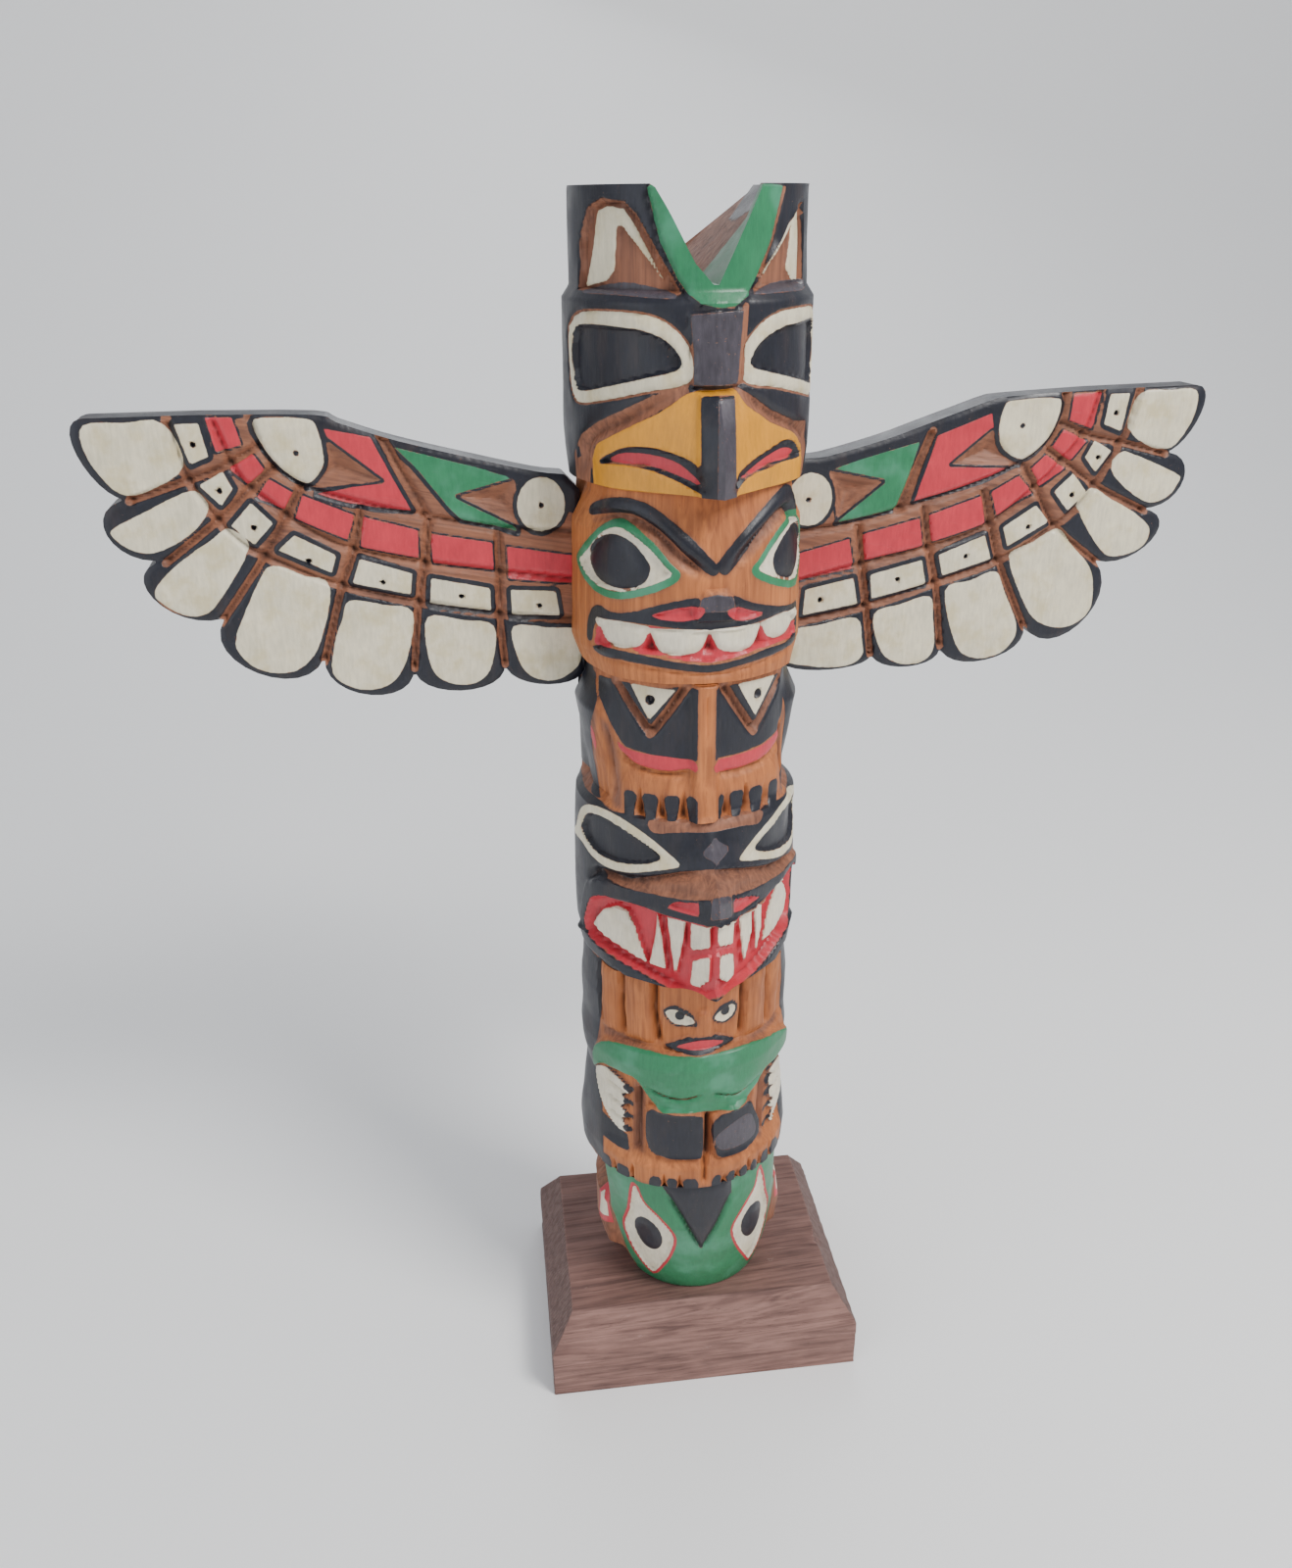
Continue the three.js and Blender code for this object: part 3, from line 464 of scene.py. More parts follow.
def chest_and_legs(c):
    c.paint("amber", band(268, 321, 44))
    wings = [(-54, 319), (-44, 319), (-43, 310), (-47, 300), (-47, 286), (-42, 272), (-98, 272), (-98, 319)]
    c.paint("black", wings)
    c.paint("black", flip(wings, -4))
    black_left = [(-42, 319), (-42, 311), (-36, 302), (-32, 297), (-30, 295.5), (-20, 294), (-10, 293),
        (-4.6, 293), (-4.6, 319)]
    black_right = [(0.6, 319), (0.6, 293), (10, 293.4), (20, 295), (30, 298.4), (34, 303), (38, 311),
        (38, 319)]
    c.paint("black", black_left)
    c.paint("black", black_right)
    strips = ([(-34, 318.6), (-27, 309.6), (-21, 301.6)], [(-21, 301.6), (-15, 309.6), (-8.6, 319)],
              [(4, 319), (9.6, 310), (16, 300.8)], [(16, 300.8), (22, 309.6), (28.6, 318)])
    for strip in strips:
        c.stroke("bare", strip, 3.4)
        c.groove(strip, 4.2, 1.7, 0.05)
    for tri in ([(-28, 319), (-12, 318), (-21.2, 306.6)], [(9, 319), (25, 319), (16.2, 306.4)]):
        c.paint("cream", tri)
    for s, z in ((-21, 313.8), (17.4, 313.8)):
        c.paint("black", oval(s, z, 1.7, 1.9))
        c.cut(oval(s, z, 1.7, 1.9), 1.2, 0.6)
    # centre rib
    rib = [(-5, 269), (1, 269), (0.8, 319.4), (-4.8, 319.4)]
    c.raised(rib, 1.7, 2.2)
    c.paint("amber", rib)
    c.groove([(-2, 318), (-2, 300)], 1.4, 0.5)
    # red tail bands over the feet
    bands = ([(-34, 297), (-30, 295), (-20, 294), (-10, 293.3), (-5.2, 292.5), (-5.2, 289), (-8, 289.6),
        (-15, 288.5), (-25, 289.5), (-31, 292)],
             [(1.2, 292), (10, 293), (20, 294.5), (31, 298), (29, 293), (22, 290), (12, 288), (5, 287.5),
                 (1.2, 288.6)])
    for shape in bands:
        c.paint("red", curve(shape, True, 3))
    c.groove(curve([(-35, 294), (-26, 288.6), (-15, 287), (-5.6, 288)], False), 3.6, 1.1)
    c.groove(curve([(31, 294), (22, 288.6), (11, 286.6), (2, 287)], False), 3.6, 1.1)
    # toes
    for low, high in ((-31, -26), (-24, -18), (-16, -10.5), (-8.4, -4.6), (3, 5.4), (7, 13), (15, 21),
        (24, 29)):
        c.paint("black", [(low, 268), (low, 278), (low + 1, 279.4), (high - 1, 279.4), (high, 278),
            (high, 268)])
    for s in (-25, -17, -9.4, 6.2, 14, 22.4):
        wedge = [(s - 2.3, 269), (s + 2.3, 269), (s + 0.4, 281.6), (s - 0.4, 281.6)]
        c.paint("amber", wedge)
        c.chip(wedge, 2.0)
    for side in ([(-42, 303), (-37.4, 302), (-32.6, 288), (-31.6, 271), (-36, 271), (-37.6, 288)], [(34, 303),
        (38.6, 303), (36, 288), (34, 271), (30, 271), (31, 288)]):
        c.paint("bare", side)
        c.groove([(np.mean([p[0] for p in side]) - 3, 301), (np.mean([p[0] for p in side]) + 1.4, 274)],
            4, 1.6)
    c.stroke("red", [(-47, 299), (-44, 290)], 2.2, 0.3)


def snout_head(c):
    c.paint("black", band(203, 272))
    # leaf eyes
    outer_left = curve([(-70, 248), (-64, 252.5), (-62, 255), (-58, 262), (-50, 267), (-40, 268.7),
        (-30, 267), (-20, 261.6), (-10.6, 253), (-14, 250.8), (-20, 249.4), (-30, 246.6),
                        (-40, 245.4), (-50, 246.6), (-58, 249.4), (-63, 249)])
    inner_left = curve([(-57, 256.6), (-52, 262.6), (-45, 264.8), (-35, 264.3), (-25, 260.6), (-17.5, 255.6),
        (-20, 252.6), (-30, 249.9), (-42, 248.7), (-50, 250), (-55.6, 252.6)])
    outer_right = flip(outer_left, 0.6)
    inner_right = flip(inner_left, 0.6)
    for outer, inner in ((outer_left, inner_left), (outer_right, inner_right)):
        c.paint("cream", outer)
        c.paint("black", inner)
        c.cut(inner, 1.2)
    # grey streak between the eyes: painted highlight of glare on partly worn black paint
    c.stroke("worn_grey_highlight", [(2, 262), (3, 252)], 9, 0.4)
    c.paint("bare", curve([(-20, 264.6), (-10, 265.4), (0, 265), (12, 265.4), (20, 264.4), (20, 269.6),
        (0, 270.6), (-20, 270)]))
    # bare fold over the upper lip
    fold = [(-47, 243), (-30, 243.2), (-20, 246.6), (-10, 249.5), (0, 250.2), (10, 248.4), (25, 245.4),
        (40, 243.4), (50, 243.6), (50, 241), (25, 240), (10, 238.6), (0, 238.2), (-10, 239.4), (-20, 240.8),
        (-40, 241)]
    c.paint("bare", fold)
    c.groove(curve([(-52, 234), (-47, 241), (-36, 243), (-22, 245), (-10, 247.6), (0, 248.2)], False), 5, 1.6)
    c.groove(curve([(0, 248.2), (12, 246.6), (26, 243.6), (42, 242.4)], False), 5, 1.6)
    c.raised(curve([(-58, 214), (-55.4, 228), (-50, 236), (-40, 240.4), (-25, 241), (-10, 240), (4, 237),
        (18, 239.6), (36, 241), (48, 241), (48, 236), (32, 235), (18, 231), (5, 226), (-10, 230),
                    (-28, 234), (-42, 233), (-50, 224), (-54, 214)], True, 3), 0.9, 1.2)
    for nostril in ([(-15, 235.8), (-12, 238.2), (-3.8, 237.6), (-3.4, 232), (-8, 233.4)], [(9.4, 237),
        (16, 236.6), (20.4, 234.8), (14, 232.4), (9.4, 231.4)]):
        c.paint("red", nostril)
        c.cut(nostril, 0.9, 0.7)
    # right half of the nose in grey: painted highlight on partly worn black paint
    c.paint("worn_grey_highlight", [(0.6, 230), (8.6, 230), (8.4, 238.4), (1, 238.4)])
    # mouth
    mouth = curve([(-53.6, 213), (-52.6, 222), (-48, 230), (-40, 234), (-28, 235), (-20, 234), (-10, 231),
        (0, 228), (5, 227.4), (12, 230), (22, 233), (32, 236.5), (44, 238.4), (50, 230),
                   (46, 215), (30, 208), (15, 201), (3, 196), (-10, 200), (-25, 206.5), (-40, 210)], True, 3)
    c.paint("red", mouth)
    c.cut(mouth, 2.0, 1.2)
    teeth = (
        [(-50.4, 217), (-47, 222), (-43, 226.6), (-36, 230.4), (-31.4, 229.8), (-28, 224), (-25.8, 217),
            (-23, 210), (-33, 213.3), (-42, 215)],
        [(-22, 210), (-19.6, 222), (-18.8, 232), (-17.2, 222), (-15.6, 208.6)],
        [(-15.2, 231), (-8, 229.2), (-9.6, 218), (-12, 205), (-13.6, 218)],
        [(-6.2, 217), (-6.2, 228.4), (1, 227.4), (1.2, 217)],
        [(4.2, 217), (4.2, 227.6), (11, 229), (10.6, 217)],
        [(-6.2, 202), (-5.4, 212.6), (1.2, 213), (0.6, 203), (-3, 200.6)],
        [(5, 213), (10.8, 212.6), (11.2, 203.6), (8, 201), (5.2, 203)],
        [(12.6, 229.6), (18.6, 231.6), (19, 220), (15.6, 207)],
        [(20.4, 232), (23.8, 233), (24, 220), (21.6, 209.6)],
        [(25, 213), (27.6, 224), (31, 231), (35.4, 236.2), (40, 231), (43.2, 225), (41, 219), (33, 215)],
    )
    for tooth in teeth:
        c.paint("white", tooth)
        c.raised(tooth, 1.5, 0.8)
    c.paint("red", [(-6.4, 214.4), (0.4, 213.6), (2.6, 209.6), (4.8, 213.6), (11.4, 214.4), (5, 216.8),
        (3.4, 221.4), (1, 216.8)])
    # lower lip
    lip = curve([(-58, 214), (-52, 212), (-40, 210), (-25, 206.3), (-10, 199.8), (3, 195.8), (15, 200.8),
        (30, 207.6), (42, 212.4), (50, 214), (50, 208), (40, 207.4), (30, 202.6), (15, 196.6), (3, 190),
                 (-8, 194), (-22, 200.4), (-40, 206), (-58, 207)], True, 3)
    c.paint("black", lip)
    c.raised(lip, 0.8, 1.0)


def crouched_figure(c):
    c.paint("amber", band(107, 206, 46))
    dark = [(-98, 107), (-46, 107), (-46, 134), (-50, 150), (-50, 160), (-46, 176), (-46, 204), (-98, 204)]
    c.paint("black", dark)
    c.paint("black", flip(dark, -1.5))
    # face between its locks
    for s0 in (-33, -45):
        c.groove([(s0, 206), (s0 - 0.6, 190), (s0 + 0.6, 177)], 3.4, 1.6, 0.05)
    for s0 in (14.4, 27, 38):
        c.groove([(s0, 206), (s0 + 0.6, 190), (s0 - 0.4, 177)], 3.4, 1.6, 0.05)
    c.groove([(-19.6, 205), (-20, 190), (-18, 176)], 4, 2.2, 0.05)
    for low, high in ((-33, -20.6), (-44.6, -33.4), (14.6, 26.8), (27.2, 38)):
        lock = [(low, 175), (low, 206), (high, 206), (high, 175)]
        c.dome(lock, 1.3, 6)
    for eye, lid in (([(-15.6, 190.4), (-12, 191.6), (-8, 189.4), (-4.6, 186.4), (-8, 184.8), (-13, 186)],
        [(-16.6, 191.4), (-12, 193.2), (-7, 190.6), (-3.8, 187)]),
                     ([(3, 187), (6, 190), (9.6, 191.6), (11.4, 190), (10, 186.6), (6, 184.8)], [(2, 187.6),
                         (6, 191.6), (10, 193), (12.4, 191)])):
        c.paint("black", curve(eye), 0.9)
        c.cut(curve(eye), 0.6)
        c.paint("white", curve(eye))
        centre = np.mean(eye, 0)
        c.paint("black", oval(centre[0], centre[1] + 0.6, 1.9, 2.2))
        c.stroke("black", lid, 1.2, 0.2)
    c.raised([(-5, 181), (1.4, 181), (-0.4, 190), (-3, 190)], 1.5, 1.8)
    c.stroke("black", [(-4.6, 181), (-2, 180), (0.8, 181)], 0.8, 0.3)
    lips = leaf((-15, 176), (10, 176.6), 180.2, 172.8)
    c.paint("black", lips, 0.6)
    c.raised(lips, 1.2)
    c.paint("red", leaf((-12, 176.6), (7, 177), 179, 174.8))
    c.paint("bare", [(-44, 171), (-44, 176.4), (-34, 176), (-20, 173.6), (-12, 171)])
    c.paint("bare", [(12, 172), (20, 174.4), (36, 177.6), (40, 172)])
    # arms
    arms = curve([(-49, 154), (-49.6, 160), (-46, 166), (-38, 171), (-25, 173), (-12, 172), (0, 171.8),
        (15, 172.5), (30, 169.6), (39, 166.5), (45, 163), (45, 156), (36, 156.5), (27, 156), (22, 152),
        (16, 147),
                  (8, 145), (0, 145.5), (-10, 146), (-18, 147), (-23, 153), (-27, 158), (-34, 159),
                      (-42, 158.6), (-46, 156)], True, 3)
    c.paint("green", arms)
    c.raised(arms, 1.2, 1.6)
    for line in ([(-24, 156), (-15, 152.2), (-8, 151.4), (-1, 153.6)], [(1.4, 153.6), (8, 151), (14, 150.4),
        (24, 155)]):
        c.groove(curve(line, False), 2.2, 1.0)
        c.stroke("bare", curve(line, False), 0.7, 0.2)
    # hands
    palm = curve([(-47.6, 150), (-47, 153.6), (-44, 157), (-40, 156.8), (-35, 155), (-31, 152.6),
        (-30.4, 149.6), (-34, 148), (-31, 145), (-34.4, 142), (-30.6, 138.4), (-34, 136), (-30.4, 131.6),
        (-34, 130.4), (-40, 134), (-45, 140)], True, 3)
    c.paint("black", palm, 0.7)
    c.paint("white", palm)
    c.raised(palm, 1.1, 1.0)
    for z in (150.2, 143.4, 136.8):
        c.groove([(-41, z + 1.6), (-30, z - 1.6)], 1.8, 0.9)
        c.stroke("black", [(-31.6, z + 2), (-29, z + 0.8)], 2.0)
    c.stroke("black", [(-32, 132.6), (-29.6, 131.2)], 2.0)
    right = curve([(29, 152.6), (33, 154), (39, 153), (43.6, 148), (44.4, 140), (42, 133), (37, 127),
        (33.4, 125), (32.4, 127.6), (35, 131), (31.6, 133.6), (34, 136.6), (30, 140), (33.6, 143), (29, 146),
        (33, 148.6)], True, 3)
    c.paint("black", right, 0.7)
    c.paint("white", right)
    c.raised(right, 1.1, 1.0)
    for z in (148.6, 142, 134.4, 127):
        c.groove([(39, z + 1.6), (30, z - 1.4)], 1.8, 0.9)
        c.stroke("black", [(31.4, z + 0.4), (28.2, z - 1.2)], 2.0)
    # knees, shins and feet
    knees = ([(-21, 146), (-12, 145.4), (-2.4, 144), (-1.4, 140), (-1.6, 125), (-5, 123), (-17, 124),
        (-22, 128), (-22.6, 140)],
             [(2.6, 141), (16, 146), (20, 140), (23, 132), (22, 126), (17, 122.5), (7, 122), (3.6, 126)])
    for knee in knees:
        c.paint("black", curve(knee, True, 3))
        c.raised(curve(knee, True, 3), 1.8, 1.6)
    # grey patch on the right knee: painted highlight on partly worn black paint
    c.paint("worn_grey_highlight", curve([(4, 134), (16, 140), (20, 134), (20, 128), (12, 126), (5, 127)]))
    for side in ([(-28.6, 155), (-24, 155), (-24.6, 122), (-29.6, 122)], [(24, 152), (28.6, 152), (28, 120),
        (23.6, 122)]):
        c.paint("bare", side)
        c.groove([((side[0][0] + side[1][0]) / 2, 154), ((side[2][0] + side[3][0]) / 2, 122)], 4, 1.7, 0.05)
    c.paint("black", [(-50, 120), (-50, 133), (-40, 131), (-32, 128), (-31, 120)])
    c.groove([(0.6, 144), (0.4, 124), (0, 108)], 3.4, 1.8, 0.05)
    c.stroke("bare", [(0.6, 144), (0.4, 124)], 2.4)
    for low, high in ((-22.4, -17), (-15.6, -10.4), (-9, -2.4), (3, 7.6), (9.4, 14), (15.6, 20), (21.6, 25.4),
        (-47, -41), (-38, -31), (28.4, 34), (36, 42)):
        c.paint("black", [(low, 102), (low, 109), (low + 1.2, 111.4), (high - 1.2, 111.4), (high, 109),
            (high, 102)])
    for s in (-16.2, -9.8, 8.4, 14.8, 20.8, -39.6, 35, -30.2, 27.2):
        wedge = [(s - 1.9, 103), (s + 1.9, 103), (s, 116.6)]
        c.paint("amber", wedge)
        c.chip(wedge, 1.9)


def foot_head(c):
    c.paint("green", band(36, 108))
    eye = curve([(-30.5, 102), (-35, 85), (-41, 72), (-40, 61), (-36, 52), (-31, 44), (-23, 54), (-17.5, 64),
        (-14.7, 74), (-17, 81), (-22, 88), (-27.5, 94)], True, 3)
    for turn in (lambda p: p, lambda p: flip(p, -0.5)):
        outline = turn(eye)
        c.paint("red", outline, 1.4)
        c.paint("white", outline)
        c.cut(outline, 0.9)
        pupil = turn(oval(-28, 72.4, 7.5, 10))
        c.paint("black", pupil)
        c.dome(pupil, 0.5, 5)
    nose = [(-2.5, 67), (-9.2, 86.5), (-15.5, 102), (-18.5, 108), (12.9, 108), (12.5, 98), (4.5, 81)]
    c.paint("black", nose)
    c.groove([(-2.6, 66.6), (-9.6, 86.5), (-16, 102)], 3, 1.2)
    c.groove([(-2.2, 66.6), (4.9, 81), (12.9, 98)], 3, 1.2)
    c.dome(nose, 0.8, 5)
    for turn in (lambda p: p, lambda p: flip(p, 1)):
        c.paint("bare", turn([(-98, 36), (-46, 36), (-46, 60), (-50, 84), (-52, 108), (-98, 108)]))
        c.paint("red", turn([(-62, 62), (-50, 66), (-50.6, 80), (-60, 84)]))
        c.paint("white", turn([(-60, 66), (-52, 69), (-52, 77), (-58, 80)]))
        c.paint("black", turn([(-98, 84), (-50, 82), (-51, 108), (-98, 108)]))


FIGURES = ((thunderbird, 382.5, 999), (broad_face, 319.1, 382.5), (chest_and_legs, 269, 319.1),
           (snout_head, 203.5, 269), (crouched_figure, 107.5, 203.5), (foot_head, 0, 107.5))


def carve_pole(angle, z):
    """Depth and paint of the whole pole at the given directions and heights."""
    radius = log_radius(angle, z)
    s, height = pattern_place(angle, radius, z)
    foot = z < HEAD_TOP + 0.5
    s[foot], height[foot] = GIRTH * angle[foot], z[foot]
    carving = Carving(s, height)
    for figure, low, high in FIGURES:
        carving.active = (z >= low) & (z < high)
        figure(carving)
    carving.depth *= 1.55
    arc = GIRTH * angle
    paint = np.max([carving.paint_mm[n] for n in PAINTS if n != "amber"], 0)
    tooled = smoothstep(0.4, -0.4, paint)
    flat = np.abs(angle) > math.radians(112)
    carving.depth -= 0.28 * tooled * facets(arc, z, 6.5, 11, 5) + 0.5 * flat * facets(arc, z, 11, 26, 8)
    carving.depth += 0.22 * ripple(arc, z, 7, 9, 1) + 0.3 * ripple(arc, z, 18, 30, 2)
    return radius, carving


# The wings' shape --------------------------------------------------------------------------------

LEFT = {
    "sign": -1, "y0": 16.7, "turn": 4.15,
    "top": [(36, 376.5), (41, 381.8), (51, 383.2), (72, 388.5), (86, 392.2), (100, 396.3), (114, 401.4),
        (121, 404), (157, 405.2)],
    "notches": [(191, 405.3), (179.4, 380), (171.8, 359.8), (157.2, 338.9), (126.2, 323), (96.1, 318),
        (64.4, 316.8), (36, 315)],
    "tips": [(193, 391), (189.6, 368.5), (178.8, 347), (149, 318.8), (112, 308), (80.5, 307.2), (49, 307.2)],
    "rows": {
        "shoulder": [(36, 359.6), (62, 362.5), (80, 366.5), (100, 371.5), (120, 378), (131, 384), (138, 392),
            (141, 404)],
        "coverts": [(36, 342.4), (62, 347), (88, 352), (112, 358.5), (126, 366), (138, 376), (147, 386),
            (153, 404)],
        "feathers": [(36, 327.6), (62, 331.5), (90, 338), (116, 346), (138, 356.5), (150, 365), (158, 377),
            (163, 388), (166, 404)]},
    "rays": [[(63.5, 362), (63.8, 345), (64.6, 330), (63.7, 313)], [(87, 367.5), (89.5, 352), (93, 337),
        (96, 314.6)],
             [(109, 373.6), (113, 358), (118.5, 345), (126.6, 320)], [(127, 382), (134, 371), (142, 358.5),
                 (158.6, 337)],
             [(135, 388), (145, 380), (155, 371.5), (173, 358.6)], [(139, 395), (151, 388.6), (162, 385),
                 (181, 379.4)]],
    "red_cells": [[(36, 341), (36, 351), (60.8, 356.2), (60.8, 344.8)], [(66, 348), (66, 358), (87, 362.5),
        (86.6, 352)],
                  [(91.6, 354.5), (91, 364), (109, 369.8), (110.4, 359.5)], [(114.6, 362.5), (111.5, 370.4),
                      (127.5, 378), (130.6, 370.5)],
                  [(132.5, 373), (130, 378.8), (137.5, 384), (142, 378)], [(143.5, 381.6), (138.5, 387),
                      (141.5, 392.4), (149.5, 388)],
                  [(144.5, 395.3), (146.5, 404), (154.4, 404), (152.5, 393.3)]],
    "cream_cells": [[(43.5, 330), (44.6, 338.7), (60, 340.4), (60, 331.5)], [(68, 334), (68, 341.7),
        (87.5, 346.7), (88.5, 338)],
                    [(95.4, 342.3), (94.5, 349), (111, 355.2), (114, 347.5)], [(121, 352), (119.2, 357.2),
                        (131.5, 364.7), (136.7, 360.5)],
                    [(144.6, 363.3), (138.3, 369.5), (144, 376.2), (150.6, 369.5)], [(153.2, 376.8),
                        (149.3, 381.5), (151.5, 386.7), (158.7, 383)],
                    [(155.4, 392.3), (157, 402.2), (163.7, 402.2), (160.7, 390.3)]],
    "dots": [(50.2, 334.1), (77.8, 339.7), (104.2, 346.8), (128, 356.1), (144.1, 368.4), (153.2, 381),
        (159.3, 395.9)],
    "blades": [[(163, 389.5), (167.5, 403), (178, 403.6), (190.5, 403.4), (191.3, 395), (187, 386),
        (182, 381.5), (175, 382)],
               [(157.5, 375), (161, 381.3), (168, 379.6), (176, 376), (186.4, 371.4), (187.8, 368.6),
                   (183, 364), (176, 362.4), (165, 367)],
               [(146.5, 362), (152, 368.5), (158, 365.2), (165, 361), (172, 356), (177.6, 350), (176.6, 345),
                   (171, 341), (164, 340.4), (158, 345)],
               [(122, 346.5), (130, 351), (140, 355.4), (145, 350), (150, 341), (154, 333), (154.6, 327),
                   (149, 320), (140, 317.6), (133, 320), (127, 328)],
               [(95, 335.5), (105, 339), (116, 341.3), (119, 335), (122, 328), (124.2, 316), (118, 310),
                   (110, 308.6), (103, 311.5), (98, 320)],
               [(67, 328), (78, 331.2), (90, 333.3), (91, 320), (88, 311), (80, 307.2), (73, 308.2),
                   (68.5, 314)],
               [(36, 323.4), (48, 325.8), (60, 327.3), (59.5, 317), (56, 309.4), (50, 306), (43, 306.2),
                   (36, 312)]],
    "green": [(57, 361), (66, 364), (76, 366.5), (80, 371), (85, 378), (90, 385), (96.6, 392), (84, 388.2),
        (70, 384), (57, 379.3), (59, 377), (66, 376.6), (76, 373.4), (66, 368.6), (58, 363.6)],
    "red": [(92.6, 370.6), (98, 382), (104, 395.6), (118.4, 399), (117, 394), (110, 387), (101.6, 381.3),
        (111, 379.8), (122.6, 378), (114, 374.8), (104, 372.3)],
    "strip": [(87.6, 368.6), (101.2, 397)],
    "chips": [[(101.6, 381.3), (126, 380), (117.5, 395)], [(76.6, 374.6), (57, 379), (55.4, 362.6)]],
    "eye": [(119.5, 390), (120.6, 399.4), (124, 402.4), (139.5, 403), (138.4, 395), (133, 387), (126, 381.8),
        (121, 385.4)],
    "small_eye": (48.3, 370, 8.4, 9.6), "eye_dots": [(128, 391.7), (48.2, 369.8)],
}
RIGHT = {
    "sign": 1, "y0": -4.2, "turn": -1.93,
    "top": [(36, 383.4), (44, 383.6), (52, 384), (73, 389), (87, 393.4), (102, 398.2), (111, 401), (118, 402),
        (150, 403.2)],
    "notches": [(189.7, 403.7), (178.6, 380.2), (175, 359.8), (159.3, 340.9), (132.9, 317.8), (99.4, 312.6),
        (71.9, 311.6), (36, 311)],
    "tips": [(192, 390.6), (190.6, 370), (181.2, 347.4), (156, 316), (119, 304.4), (88, 304), (57, 305)],
    "rows": {
        "shoulder": [(36, 359), (60, 361.5), (80, 366), (100, 371), (120, 378), (131, 385), (136, 393),
            (137, 404)],
        "coverts": [(36, 340.6), (65, 346.5), (88, 350.5), (111, 357), (130, 371), (140, 381), (147, 391),
            (151, 404)],
        "feathers": [(36, 326), (68, 331), (93, 337.5), (118, 344.5), (139, 356), (150, 366), (158, 380),
            (163, 390), (166, 404)]},
    "rays": [[(62, 361), (64.5, 345), (67, 330), (69.8, 312)], [(86.5, 366), (90, 350), (94, 335),
        (97.6, 313)],
             [(109, 371), (113.5, 357), (118.5, 343), (131.4, 317.6)], [(123.5, 379), (131, 368), (140, 355),
                 (159, 340.4)],
             [(132, 384), (143, 377), (155, 369), (175, 359.4)], [(136.5, 393), (148, 388), (161, 385),
                 (180, 380)]],
    "red_cells": [[(36, 341), (36, 351), (58.8, 356), (61, 345)], [(65, 347.6), (64, 357.4), (85, 361.8),
        (87, 351.6)],
                  [(90.4, 353), (88.8, 362.8), (108.6, 368.6), (110.6, 358.4)], [(115, 361), (112, 369.8),
                      (122, 375), (128.4, 368.4)],
                  [(131, 370.8), (126.6, 377.4), (131.6, 382), (139.6, 377)], [(141.4, 379.4), (133.8, 384.6),
                      (137.6, 390.6), (147, 386.2)],
                  [(139.4, 393.6), (140, 403), (151.4, 403), (148.6, 390.4)]],
    "cream_cells": [[(43, 329.6), (43.6, 338.4), (61, 341.4), (63, 332.2)], [(69, 334), (68, 342.2),
        (87, 346.2), (89, 337.6)],
                    [(96, 340.6), (94, 347.8), (111, 353.8), (114, 345.4)], [(120.6, 350), (118.4, 356.6),
                        (130, 363.6), (135.6, 358)],
                    [(143, 361.8), (137, 368.6), (143.4, 374.4), (149.4, 367.6)], [(152, 375.4),
                        (147.6, 380.4), (150.4, 385.8), (157.2, 382)],
                    [(153.4, 392), (154.4, 401.8), (161.4, 401.8), (160, 389.4)]],
    "dots": [(49.2, 334.3), (78.5, 340), (104.5, 346.8), (128, 356.2), (144, 367), (152.8, 380),
        (157.5, 395.5)],
    "blades": [[(163.6, 389.8), (166.8, 402), (178, 402.6), (188.2, 402.2), (189, 393.6), (185, 385.6),
        (180.6, 382), (173, 383)],
               [(158.4, 375.6), (161.4, 381.6), (168, 380), (177, 376.4), (186.6, 372), (187, 369.6),
                   (183.6, 364.6), (176, 362.6), (166, 368)],
               [(147, 362.4), (152.4, 368.8), (160, 364.8), (168, 360.6), (176.4, 354.6), (178, 350),
                   (175, 345.4), (166, 343), (158.6, 346)],
               [(122, 345.4), (131, 350.2), (140.6, 354.6), (147.6, 347.6), (155, 339.6), (157.6, 332),
                   (157.6, 322.6), (151.6, 317.6), (143.6, 317), (134.4, 321.4), (127.4, 332)],
               [(97.4, 334.4), (107, 337.6), (117, 340.4), (121.6, 332), (127.6, 319.6), (126.6, 312.4),
                   (120, 307.4), (111, 307.6), (103.6, 313.6)],
               [(70, 327.4), (80, 330.6), (91.4, 332.8), (93.6, 324), (94.8, 312.6), (90, 307.4), (82, 307.6),
                   (74, 313)],
               [(36, 322.8), (50, 325.2), (63.4, 326.6), (66, 318), (66.4, 312), (60.6, 308.6), (50, 309),
                   (36, 313)]],
    "green": [(54, 362), (64, 363.6), (76.4, 365.8), (79.8, 377), (82.8, 388.6), (74, 386.6), (64, 384.2),
        (52, 381), (60, 378.4), (68.6, 375.6), (60, 369.4)],
    "red": [(82.6, 368), (86, 379), (89.5, 390.4), (109, 397.2), (110.4, 391.6), (103, 385.6), (95.3, 380.3),
        (108, 379.8), (120.4, 379), (110, 374.6), (99, 371.6)],
    "strip": [(77, 364.6), (87.6, 392)],
    "chips": [[(95.5, 380.3), (122.5, 378.6), (110, 391.5)], [(70, 375.6), (50, 380.4), (54, 363.6)]],
    "eye": [(112.3, 391.6), (113.6, 399.4), (117, 401.2), (134.6, 401), (134, 392), (129, 384.4),
        (122.5, 380.8), (115, 384.8)],
    "small_eye": (43.4, 370.8, 8.2, 9.2), "eye_dots": [(121.3, 392.5), (42.9, 370.7)],
}


